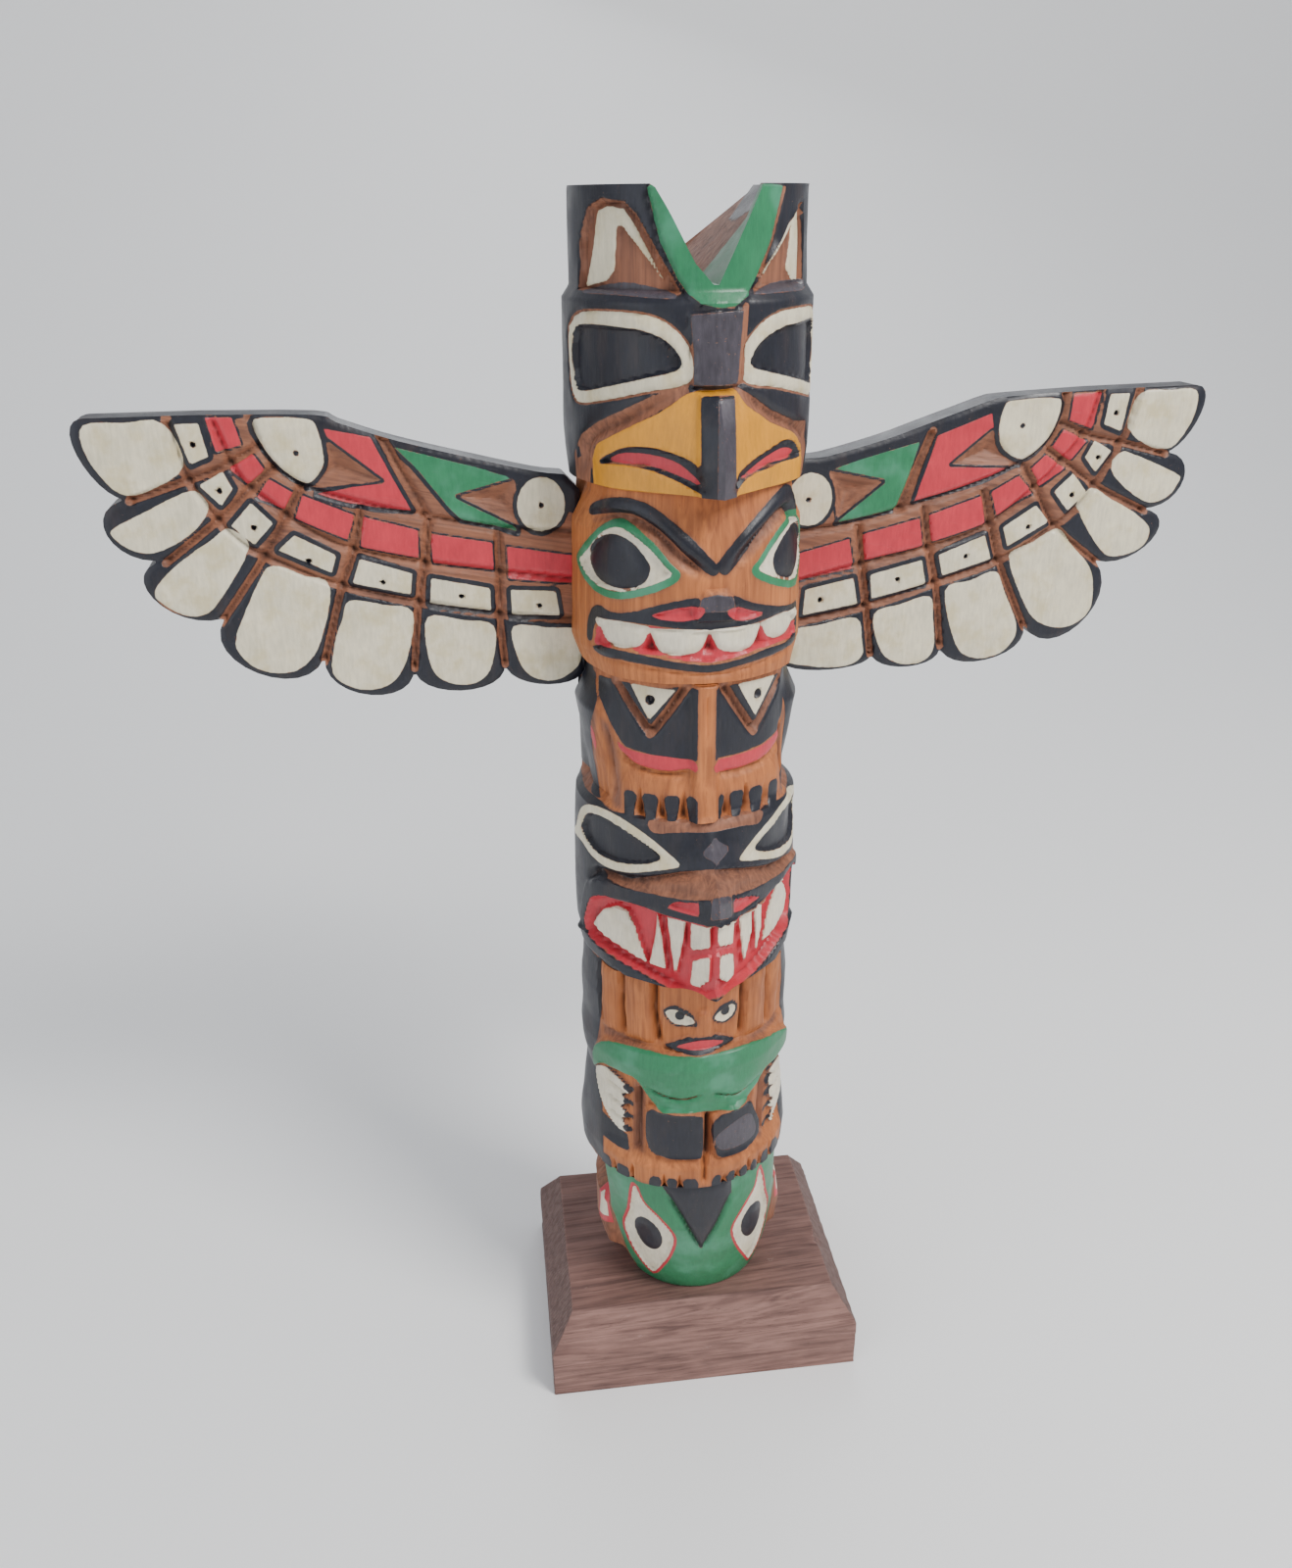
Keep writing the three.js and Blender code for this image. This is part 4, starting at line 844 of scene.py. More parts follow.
def feather_edge(start, tip, end, steps=12):
    """Rounded end of one feather, from one notch to the next."""
    a, b, d = np.array(start), np.array(tip), np.array(end)
    out = (b - (a + d) / 2) * 4 / 3
    p1, p2 = a + out - 0.06 * (d - a), d + out + 0.06 * (d - a)
    t = np.linspace(0, 1, steps, False)[:, None]
    return (1 - t) ** 3 * a + 3 * (1 - t) ** 2 * t * p1 + 3 * (1 - t) * t * t * p2 + t ** 3 * d


def wing_outline(side):
    edge = [feather_edge(side["notches"][i], tip, side["notches"][i + 1]) for i,
        tip in enumerate(side["tips"])]
    top = curve(side["top"][1:], False, 3)
    return np.vstack([[side["top"][0]], top, *edge, [side["notches"][-1]]])


def wing_place(side, a, z):
    """Where a point of the wing's face falls on the sheet that its pattern is drawn on."""
    x, y = side["sign"] * a, np.full(len(a), WING_FRONT)
    d = np.stack([x, y, z], 1) - EYE
    slope = math.sin(math.radians(side["turn"]))
    # sheet: y = y0 - |x| * slope
    t = (side["y0"] - EYE[1] - slope * side["sign"] * EYE[0]) / (d[:, 1] + slope * side["sign"] * d[:, 0])
    return side["sign"] * (EYE[0] + t * d[:, 0]), EYE[2] + t * d[:, 2]


def carve_wing(side, a, z, border):
    """Depth and paint over a wing's face; border is the distance in from its edge."""
    sheet_a, sheet_z = wing_place(side, a, z)
    c = Carving(sheet_a, sheet_z)
    c.paint("black", [(30, 290), (205, 290), (205, 420), (30, 420)])
    rows = {name: curve(row, False, 6) for name, row in side["rows"].items()}
    c.paint("bare", [*rows["feathers"], (166, 400), (140, 404), (36, 366)])
    for name in ("feathers", "coverts", "shoulder"):
        c.stroke("bare", rows[name], 3.4)
    for cell in side["red_cells"]:
        c.paint("black", cell, 0.8)
        c.paint("red", cell)
    for cell in side["cream_cells"]:
        c.paint("black", cell, 2.0)
        c.paint("cream", cell, 0.3)
    for row in rows.values():
        c.groove(row, 4, 1.5, 0.01)
    for ray in side["rays"]:
        line = curve(ray, False, 5)
        c.stroke("bare", line, 2.6)
        c.groove(line, 4, 1.6, 0.01)
    for blade in side["blades"]:
        shape = curve(blade, True, 4)
        c.paint("cream", shape)
        c.dome(shape, 0.5, 7)
    # shoulder
    for colour in ("green", "red"):
        c.paint("black", side[colour], 1.5)
        c.paint(colour, side[colour])
    c.stroke("bare", side["strip"], 3.2)
    c.groove(side["strip"], 5, 1.7, 0.01)
    for chip in side["chips"]:
        c.paint("black", chip, 1.0)
        c.paint("bare", chip)
        c.chip(chip, 2.4)
    eye = curve(side["eye"], True, 4)
    s, z0, wide, high = side["small_eye"]
    for shape in (eye, oval(s, z0, wide, high)):
        c.paint("black", shape, 1.5)
        c.paint("cream", shape)
        c.dome(shape, 0.7, 5)
    for s, z0 in side["dots"] + side["eye_dots"]:
        c.paint("black", oval(s, z0, 1.0, 1.0, 10))
        c.cut(oval(s, z0, 1.0, 1.0, 10), 1.4, 0.4)
    c.depth = c.depth * 1.35 - 0.9 * (1 - smoothstep(0, 1.6, border))
    for name in PAINTS:
        if name != "black":
            c.paint_mm[name] = np.minimum(c.paint_mm[name], border - 0.9 if name != "amber" else 9)
    bare = np.max([c.paint_mm[n] for n in PAINTS], 0) < 0
    c.depth -= 0.2 * bare * facets(a, z, 7, 5, 3)
    c.depth += 0.16 * ripple(a, z, 6, 6, 11) + 0.2 * ripple(a, z, 20, 20, 12)
    return c


# Making meshes -----------------------------------------------------------------------------------


def mesh_object(name, bm):
    bmesh.ops.recalc_face_normals(bm, faces=bm.faces)
    mesh = bpy.data.meshes.new(name)
    bm.to_mesh(mesh)
    bm.free()
    piece = bpy.data.objects.new(name, mesh)
    bpy.context.scene.collection.objects.link(piece)
    return piece


def coordinates(mesh):
    co = np.empty(len(mesh.vertices) * 3)
    mesh.vertices.foreach_get("co", co)
    return co.reshape(-1, 3)


def crispness(mesh):
    """How much each vertex stands out from its neighbours, per mm: above 0 on edges, below in corners."""
    co = coordinates(mesh) / MM
    edges = np.empty(len(mesh.edges) * 2, np.int32)
    mesh.edges.foreach_get("vertices", edges)
    a, b = edges.reshape(-1, 2).T
    total, count, length = np.zeros_like(co), np.zeros(len(co)), np.zeros(len(co))
    for i, j in ((a, b), (b, a)):
        np.add.at(total, i, co[j])
        np.add.at(count, i, 1)
        np.add.at(length, i, np.linalg.norm(co[i] - co[j], axis=1))
    normals = np.empty(len(co) * 3)
    mesh.vertex_normals.foreach_get("vector", normals)
    away = co - total / np.maximum(count, 1)[:, None]
    value = (away * normals.reshape(-1, 3)).sum(1) / np.maximum(length / np.maximum(count, 1), 0.05)
    for _ in range(2):
        spread, weight = value * 2, np.full(len(value), 2.0)
        for i, j in ((a, b), (b, a)):
            np.add.at(spread, i, value[j])
            np.add.at(weight, i, 1)
        value = spread / weight
    return value


def store(mesh, name, values):
    layer = mesh.attributes.get(name) or mesh.attributes.new(name, "FLOAT", "POINT")
    layer.data.foreach_set("value", np.ascontiguousarray(values, dtype=np.float32))


def finish_shading(mesh, crease=38):
    bm = bmesh.new()
    bm.from_mesh(mesh)
    limit = math.radians(crease)
    for face in bm.faces:
        face.smooth = True
    for edge in bm.edges:
        if len(edge.link_faces) == 2 and edge.calc_face_angle(0) > limit:
            edge.smooth = False
    bm.to_mesh(mesh)
    bm.free()


def add_piece(piece, node, material):
    piece.data.materials.clear()
    piece.data.materials.append(material)
    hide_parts(node)
    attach(piece, "root")


def spread_rows():
    """Heights of the pole's rows: about 1 mm apart along the surface, with one on every station."""
    heights = [STATIONS[0, 0]]
    probes = np.radians([0, 12, 30, 58, 80, 110])
    for lower, upper in zip(STATIONS, STATIONS[1:]):
        reach = max(np.abs(station_radius(upper, probes) - station_radius(lower, probes)))
        count = max(1, math.ceil(math.hypot(upper[0] - lower[0], reach) / 1.02))
        heights += [lower[0] + (upper[0] - lower[0]) * (k + 1) / count for k in range(count)]
    return np.array(heights)


def spread_columns(fine=1.0, coarse=2.7, turn=104):
    """Directions of the pole's columns, close over the carved front and sides, wider at the back."""
    edge = math.radians(turn)
    front = np.linspace(-edge, edge, int(2 * edge * GIRTH / fine) + 1)
    back = np.linspace(edge, 2 * math.pi - edge, int((2 * math.pi - 2 * edge) * GIRTH / coarse) + 1)
    return np.concatenate([front, back[1:]])


def notch_cutter():
    """Wedge that opens the ears, wider towards the back, and the two housings for the wing roots."""
    bm = bmesh.new()
    sections = []
    for y, half, bottom in ((-46, 14.1, 442.8), (0, 24.75, 444), (46, 36.6, 445.3)):
        spread = half * (480 - bottom) / (470 - bottom)
        ring = [(-0.8, bottom), (0.8, bottom), (spread, 480), (-spread, 480)]
        sections.append([bm.verts.new((x + AXIS[0], y + AXIS[1], z)) for x, z in ring])
    edges = [[bm.edges.new((ring[i], ring[(i + 1) % 4])) for i in range(4)] for ring in sections]
    bmesh.ops.bridge_loops(bm, edges=edges[0] + edges[1])
    bmesh.ops.bridge_loops(bm, edges=edges[1] + edges[2])
    bmesh.ops.contextual_create(bm, geom=sections[0])
    bmesh.ops.contextual_create(bm, geom=sections[2])
    for node in ("wing_left", "wing_right"):
        low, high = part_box(node)
        inner = low.x / MM - 0.3 if low.x > 0 else high.x / MM + 0.3
        outer = inner + math.copysign(22, inner - AXIS[0])
        box = bmesh.ops.create_cube(bm, size=1)["verts"]
        size = (abs(outer - inner), WING_THICK + 0.6, 386 - 303 + 0.6)
        centre = ((inner + outer) / 2, AXIS[1] + WING_FRONT + WING_THICK / 2, (386 + 303) / 2)
        bmesh.ops.scale(bm, vec=size, verts=box)
        bmesh.ops.translate(bm, vec=centre, verts=box)
    bmesh.ops.scale(bm, vec=(MM, MM, MM), verts=bm.verts)
    return mesh_object("cutter", bm)


def make_pole(material):
    heights, turns = spread_rows(), spread_columns()
    rows, columns = len(heights), len(turns)
    bm = bmesh.new()
    bmesh.ops.create_grid(bm, x_segments=columns - 1, y_segments=rows - 1, size=1)
    mesh = bpy.data.meshes.new("sheet")
    bm.to_mesh(mesh)
    bm.free()
    flat = coordinates(mesh)
    column = np.rint((flat[:, 0] + 1) / 2 * (columns - 1)).astype(int)
    row = np.rint((flat[:, 1] + 1) / 2 * (rows - 1)).astype(int)
    turn = turns[column]
    angle = np.where(turn > math.pi, turn - 2 * math.pi, turn)
    z = heights[row]
    radius, carving = carve_pole(angle, z)
    radius = radius + np.where((row == 0) | (row == rows - 1), 0, carving.depth)
    lx, ly = lean_at(z)
    place = np.stack([AXIS[0] + lx + radius * np.sin(angle), AXIS[1] + ly - radius * np.cos(angle), z], 1)
    mesh.vertices.foreach_set("co", (place * MM).ravel())
    bm = bmesh.new()
    bm.from_mesh(mesh)
    bpy.data.meshes.remove(mesh)
    bmesh.ops.remove_doubles(bm, verts=bm.verts, dist=1e-5)
    bmesh.ops.holes_fill(bm, edges=[e for e in bm.edges if e.is_boundary], sides=0)
    pole = mesh_object("carved_pole", bm)
    cutter = notch_cutter()
    bite = pole.modifiers.new("notch", "BOOLEAN")
    bite.object, bite.operation, bite.solver = cutter, "DIFFERENCE", "EXACT"
    shaped = bpy.data.meshes.new_from_object(pole.evaluated_get(bpy.context.evaluated_depsgraph_get()))
    pole.modifiers.clear()
    pole.data = shaped
    bpy.data.objects.remove(cutter)
    finish_shading(shaped)
    # paint, read back at every vertex of the finished shape
    co = coordinates(shaped) / MM
    lx, ly = lean_at(co[:, 2])
    x, y = co[:, 0] - AXIS[0] - lx, co[:, 1] - AXIS[1] - ly
    angle = np.arctan2(x, -y)
    radius, carving = carve_pole(angle, co[:, 2])
    sunk = radius + carving.depth - np.hypot(x, y)
    cut_face = (sunk > 0.35) & ((co[:, 2] > 440) | (np.abs(y) < 30))
    for name, coat in carving.paint_mm.items():
        coat = np.where(cut_face, -3.0, coat)
        if name == "green":
            coat = np.where(cut_face & (co[:, 2] > 436) & (sunk < 1.2), 1.0, coat)
        coat = np.where(co[:, 2] > POLE_TOP - 0.05, 2.0 if name == "black" else -2.0, coat)
        store(shaped, "paint_" + name, coat)
    store(shaped, "crisp", crispness(shaped))
    add_piece(pole, "pole", material)
    return pole


def make_wing(side, node, material, fine=0.8):
    outline = wing_outline(side)
    low, high = outline.min(0) - 0.1, outline.max(0) + 0.1
    wide, tall = high - low
    bm = bmesh.new()
    columns, rows = int(wide / fine), int(tall / fine)
    bmesh.ops.create_grid(bm, x_segments=columns, y_segments=rows, size=0.5)
    for v in bm.verts:
        v.co = Vector((low[0] + (v.co.x + 0.5) * wide, 0, low[1] + (v.co.y + 0.5) * tall))
    bm.verts.ensure_lookup_table()
    co = np.array([v.co for v in bm.verts])
    probe = Carving(co[:, 0], co[:, 2])
    _, inside, _ = probe.distance(outline, True, 999)
    bmesh.ops.delete(bm, geom=[f for f in bm.faces if min(inside[v.index] for v in f.verts) < -0.45 * fine
                               or sum(inside[v.index] for v in f.verts) < 0], context="FACES")
    # snap the rim on to the outline
    starts, ends = outline, np.roll(outline, -1, 0)
    for v in {v for e in bm.edges if e.is_boundary for v in e.verts}:
        p = np.array([v.co.x, v.co.z])
        t = np.clip(((p - starts) * (ends - starts)).sum(1) / ((ends - starts) ** 2).sum(1), 0, 1)
        foot = starts + t[:, None] * (ends - starts)
        best = foot[np.argmin(((foot - p) ** 2).sum(1))]
        v.co.x, v.co.z = best
    bmesh.ops.remove_doubles(bm, verts=bm.verts, dist=0.05)
    front = list(bm.faces)
    back = bmesh.ops.duplicate(bm, geom=front)
    back_faces = [g for g in back["geom"] if isinstance(g, bmesh.types.BMFace)]
    back_verts = {v for f in back_faces for v in f.verts}
    bmesh.ops.translate(bm, vec=(0, WING_THICK, 0), verts=list(back_verts))
    rim = [e for e in bm.edges if e.is_boundary]
    bmesh.ops.bridge_loops(bm, edges=rim)
    sides = [e for e in bm.edges if abs(e.verts[0].co.y - e.verts[1].co.y) > 1]
    bmesh.ops.subdivide_edges(bm, edges=sides, cuts=6, use_grid_fill=True)
    mesh = bpy.data.meshes.new("board")
    bm.to_mesh(mesh)
    bm.free()
    co = coordinates(mesh)
    a, y, z = co.T
    probe = Carving(a, z)
    _, border, _ = probe.distance(outline, True, 999)
    border = np.abs(border)
    carving = carve_wing(side, a, z, border)
    face = y < 0.5
    rear = y > WING_THICK - 0.5
    y = y - np.where(face, np.where(border > 0.05, carving.depth, -0.7), 0)
    y = y + np.where(rear, -0.7 * (1 - smoothstep(0, 1.2, border)) - 0.3 * facets(a,
        z, 14, 9, 21) * smoothstep(0, 2, border), 0)
    y = np.maximum(y, 0)
    wall = ~face & ~rear
    inward = 0.25 * (ripple(a + z, y, 8, 5, 31) + 1) * wall
    middle = outline.mean(0)
    a = a + inward * np.sign(middle[0] - a) * 0.5
    place = np.stack([AXIS[0] + side["sign"] * a, AXIS[1] + WING_FRONT + y, z], 1)
    mesh.vertices.foreach_set("co", (place * MM).ravel())
    for name, coat in carving.paint_mm.items():
        coat = np.where(face, coat, 2.0 if name == "black" else -2.0)
        store(mesh, "paint_" + name, coat)
    bm = bmesh.new()
    bm.from_mesh(mesh)
    bpy.data.meshes.remove(mesh)
    piece = mesh_object("carved_" + node, bm)
    finish_shading(piece.data)
    store(piece.data, "crisp", crispness(piece.data))
    add_piece(piece, node, material)
    return piece


def make_plinth(size, material):
    low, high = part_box("plinth")
    bm = bmesh.new()
    cube = bmesh.ops.create_cube(bm, size=1)["verts"]
    bmesh.ops.scale(bm, vec=(size.width / MM, size.depth / MM, size.wall / MM), verts=cube)
    bmesh.ops.translate(bm, vec=(0, 0, size.wall / MM / 2), verts=cube)
    top = max(bm.faces, key=lambda f: f.calc_center_median().z)
    cap = bmesh.ops.extrude_face_region(bm, geom=[top])
    raised = [g for g in cap["geom"] if isinstance(g, bmesh.types.BMVert)]
    bmesh.ops.delete(bm, geom=[top], context="FACES_ONLY")
    inset = size.bevel / MM
    bmesh.ops.translate(bm, vec=(0, 0, high.z / MM - size.wall / MM), verts=raised)
    shrink = (1 - 2 * inset / (size.width / MM), 1 - 2 * inset / (size.depth / MM), 1)
    bmesh.ops.scale(bm, vec=shrink, verts=raised)
    bmesh.ops.bevel(bm, geom=list(bm.edges), offset=0.7, segments=2, profile=0.5, affect="EDGES", material=-1)
    for length, cuts in ((60, 59), (8, 13)):
        long_edges = [e for e in bm.edges if e.calc_length() > length]
        bmesh.ops.subdivide_edges(bm, edges=long_edges, cuts=cuts, use_grid_fill=True)
    turn = Matrix.Rotation(math.radians(size.turn_degrees), 4, "Z")
    mesh = bpy.data.meshes.new("block")
    bmesh.ops.recalc_face_normals(bm, faces=bm.faces)
    bm.to_mesh(mesh)
    bm.free()
    co = coordinates(mesh)
    normals = np.empty(len(co) * 3)
    mesh.vertex_normals.foreach_get("vector", normals)
    x, y, z = co.T
    lift = 0.18 * ripple(x, y * 3 + z * 3, 14, 6, 41) + 0.22 * ripple(x, y + z, 30, 20, 42) - 0.35
    # splinter knocked out of the right edge
    chip = np.exp(-(((x - 57) / 3.2) ** 2 + ((y + 14) / 4.5) ** 2 + ((z - 37) / 3) ** 2))
    lift = lift - 1.5 * chip
    co = co + normals.reshape(-1, 3) * (lift * (z > 0.5))[:, None]
    co[:, 2] = np.maximum(co[:, 2], 0)
    mesh.vertices.foreach_set("co", (co * MM).ravel())
    mesh.transform(turn)
    centre = (low + high) / 2
    mesh.transform(Matrix.Translation((centre.x, centre.y, 0)))
    bm = bmesh.new()
    bm.from_mesh(mesh)
    bpy.data.meshes.remove(mesh)
    piece = mesh_object("sawn_plinth", bm)
    finish_shading(piece.data, 50)
    store(piece.data, "crisp", crispness(piece.data))
    add_piece(piece, "plinth", material)
    return piece


# Wood and paint ----------------------------------------------------------------------------------


class Nodes:
    """Short hand for wiring one node tree."""

    def __init__(self, tree):
        self.tree = tree

    def add(self, kind, **values):
        node = self.tree.nodes.new("ShaderNode" + kind)
        for name, value in values.items():
            setattr(node, name, value)
        return node

    def feed(self, socket, value):
        if isinstance(value, bpy.types.NodeSocket):
            self.tree.links.new(value, socket)
        elif value is not None:
            socket.default_value = value

    def math(self, operation, a, b=None, c=None, clamp=False):
        node = self.add("Math", operation=operation, use_clamp=clamp)
        for socket, value in zip(node.inputs, (a, b, c)):
            self.feed(socket, value)
        return node.outputs[0]

    def mix(self, factor, a, b, blend="MIX"):
        node = self.add("Mix", data_type="RGBA", blend_type=blend)
        self.feed(node.inputs[0], factor)
        self.feed(node.inputs[6], a)
        self.feed(node.inputs[7], b)
        return node.outputs[2]

    def noise(self, vector, scale, detail=3.0, rough=0.55, distortion=0.0):
        node = self.add("TexNoise")
        self.feed(node.inputs["Vector"], vector)
        node.inputs["Scale"].default_value = scale
        node.inputs["Detail"].default_value = detail
        node.inputs["Roughness"].default_value = rough
        node.inputs["Distortion"].default_value = distortion
        return node.outputs[0]

    def remap(self, value, low, high, out_low=0.0, out_high=1.0, smooth=True):
        node = self.add("MapRange", interpolation_type="SMOOTHSTEP" if smooth else "LINEAR")
        for name, v in (("Value", value), ("From Min", low), ("From Max", high), ("To Min", out_low),
            ("To Max", out_high)):
            self.feed(node.inputs[name], v)
        return node.outputs[0]

    def stretched(self, vector, scale, turn=(0, 0, 0)):
        node = self.add("Mapping")
        self.feed(node.inputs["Vector"], vector)
        node.inputs["Scale"].default_value = scale
        node.inputs["Rotation"].default_value = turn
        return node.outputs[0]


def group(name, inputs, outputs):
    """New shader group with named sockets; returns its nodes and its two ends."""
    tree = bpy.data.node_groups.new(name, "ShaderNodeTree")
    kinds = {"f": "NodeSocketFloat", "c": "NodeSocketColor", "v": "NodeSocketVector"}
    for direction, sockets in (("INPUT", inputs), ("OUTPUT", outputs)):
        for label, kind, *default in sockets:
            socket = tree.interface.new_socket(label, in_out=direction, socket_type=kinds[kind])
            if default:
                socket.default_value = default[0]
    n = Nodes(tree)
    return n, tree.nodes.new("NodeGroupInput"), tree.nodes.new("NodeGroupOutput")


def wood_group():
    """Long grain with darker growth lines, pores and stains. The grain runs along Z of the
    vector that is fed in, which is in metres."""
    n, start, end = group(
        "Wood grain",
        [("Place", "v"), ("Light", "c", (0.6, 0.27, 0.1, 1)), ("Dark", "c", (0.2, 0.07, 0.03, 1)),
            ("Grain", "f", 1.0),
         ("Stain", "f", 0.5)],
        [("Color", "c"), ("Roughness", "f"), ("Height", "f")])
    place = start.outputs["Place"]
    long_grain = n.noise(n.stretched(place, (1, 1, 0.06)), 420, 5, 0.6, 0.4)
    rings = n.noise(n.stretched(place, (1, 1, 0.035)), 110, 3, 0.5, 1.2)
    waves = n.math("SINE", n.math("MULTIPLY", rings, 46.0))
    pores = n.noise(n.stretched(place, (1, 1, 0.03)), 1900, 2, 0.6)
    blotch = n.noise(place, 38, 4, 0.6)
    depth = n.math("ADD", n.math("MULTIPLY", waves, 0.12), n.math("MULTIPLY", n.math("SUBTRACT",
        long_grain, 0.5), 1.3))
    depth = n.math("MULTIPLY", depth, start.outputs["Grain"])
    stain = n.math("MULTIPLY", n.math("SUBTRACT", blotch, 0.42), start.outputs["Stain"])
    tone = n.math("ADD", n.math("ADD", depth, 0.42), stain, clamp=True)
    colour = n.mix(tone, start.outputs["Light"], start.outputs["Dark"])
    pits = n.remap(pores, 0.62, 0.74)
    colour = n.mix(n.math("MULTIPLY", pits, 0.45), colour, start.outputs["Dark"])
    n.feed(end.inputs["Color"], colour)
    n.feed(end.inputs["Roughness"], n.remap(long_grain, 0.3, 0.7, 0.52, 0.68, False))
    height = n.math("SUBTRACT", n.math("MULTIPLY", n.math("SUBTRACT", long_grain, 0.5), -0.6),
        n.math("MULTIPLY", pits, 0.5))
    n.feed(end.inputs["Height"], height)
    return n.tree


def coat_group():
    """Where one colour of brushed paint covers: its edge wavers as a brush does, and it is worn through
    in places."""
    n, start, end = group(
        "Brushed coat",
        [("Inside mm", "f", 0.0), ("Wear", "f", 0.0), ("Waver", "f", 0.35), ("Place", "v")],
        [("Cover", "f")])
    waver = n.math("SUBTRACT", n.noise(start.outputs["Place"], 420, 3, 0.6), 0.5)
    inside = n.math("ADD", start.outputs["Inside mm"], n.math("MULTIPLY", waver,
        n.math("MULTIPLY", start.outputs["Waver"], 2.0)))
    cover = n.remap(inside, -0.14, 0.14)
    fleck = n.noise(start.outputs["Place"], 900, 4, 0.7)
    worn = n.remap(n.math("ADD", fleck, start.outputs["Wear"]), 0.74, 0.86)
    n.feed(end.inputs["Cover"], n.math("MULTIPLY", cover, n.math("SUBTRACT", 1.0, worn)))
    return n.tree


def brush_group():
    """Streaky thickness of hand-brushed paint: tone, gloss and ridges."""
    n, start, end = group(
        "Brush strokes",
        [("Place", "v"), ("Colour", "c"), ("Thin", "f", 0.15)],
        [("Color", "c"), ("Height", "f"), ("Roughness", "f")])
    place = start.outputs["Place"]
    streak = n.noise(n.stretched(place, (1, 1, 0.22), (0.15, 0.3, 0)), 800, 3, 0.6, 0.3)
    cloud = n.noise(place, 75, 4, 0.6)
    tone = n.remap(n.math("ADD", n.math("MULTIPLY", streak, 0.5), n.math("MULTIPLY", cloud, 0.5)),
        0.36, 0.64, -1.0, 1.0, False)
    shade = n.math("ADD", 1.0, n.math("MULTIPLY", tone, start.outputs["Thin"]))
    scaled = n.add("VectorMath", operation="SCALE")
    n.feed(scaled.inputs[0], start.outputs["Colour"])
    n.feed(scaled.inputs["Scale"], shade)
    n.feed(end.inputs["Color"], scaled.outputs[0])
    n.feed(end.inputs["Height"], streak)
    n.feed(end.inputs["Roughness"], n.remap(cloud, 0.35, 0.65, -0.06, 0.08, False))
    return n.tree


def shade_and_grime_group():
    """Dirt and painted shade in the cuts, darkest where the surface dips below its neighbours, and edges
    rubbed paler.
    """
    n, start, end = group(
        "Cuts and edges",
        [("Crisp", "f", 0.0), ("Place", "v")],
        [("Dirt and shade", "f"), ("Rub", "f")])
    speck = n.noise(start.outputs["Place"], 260, 4, 0.65)
    crisp = start.outputs["Crisp"]
    n.feed(end.inputs["Dirt and shade"], n.remap(n.math("ADD", n.math("MULTIPLY", crisp, -1.0),
        n.math("MULTIPLY", n.math("SUBTRACT", speck, 0.5), 0.12)), 0.03, 0.3))
    n.feed(end.inputs["Rub"], n.remap(n.math("ADD", crisp, n.math("MULTIPLY", n.math("SUBTRACT", speck, 0.5),
        0.25)), 0.1, 0.36))
    return n.tree


def use(n, tree, **inputs):
    node = n.tree.nodes.new("ShaderNodeGroup")
    node.node_tree = tree
    for name, value in inputs.items():
        n.feed(node.inputs[name.replace("_", " ")], value)
    return node


def new_material(name, viewport):
    material = bpy.data.materials.new(name)
    material.diffuse_color = (*viewport, 1)
    material.use_nodes = True
    n = Nodes(material.node_tree)
    shader = material.node_tree.nodes["Principled BSDF"]
    place = n.add("TexCoord").outputs["Object"]
    return material, n, shader, place


def attribute(n, name):
    node = n.add("Attribute", attribute_name=name, attribute_type="GEOMETRY")
    return node.outputs["Fac"]


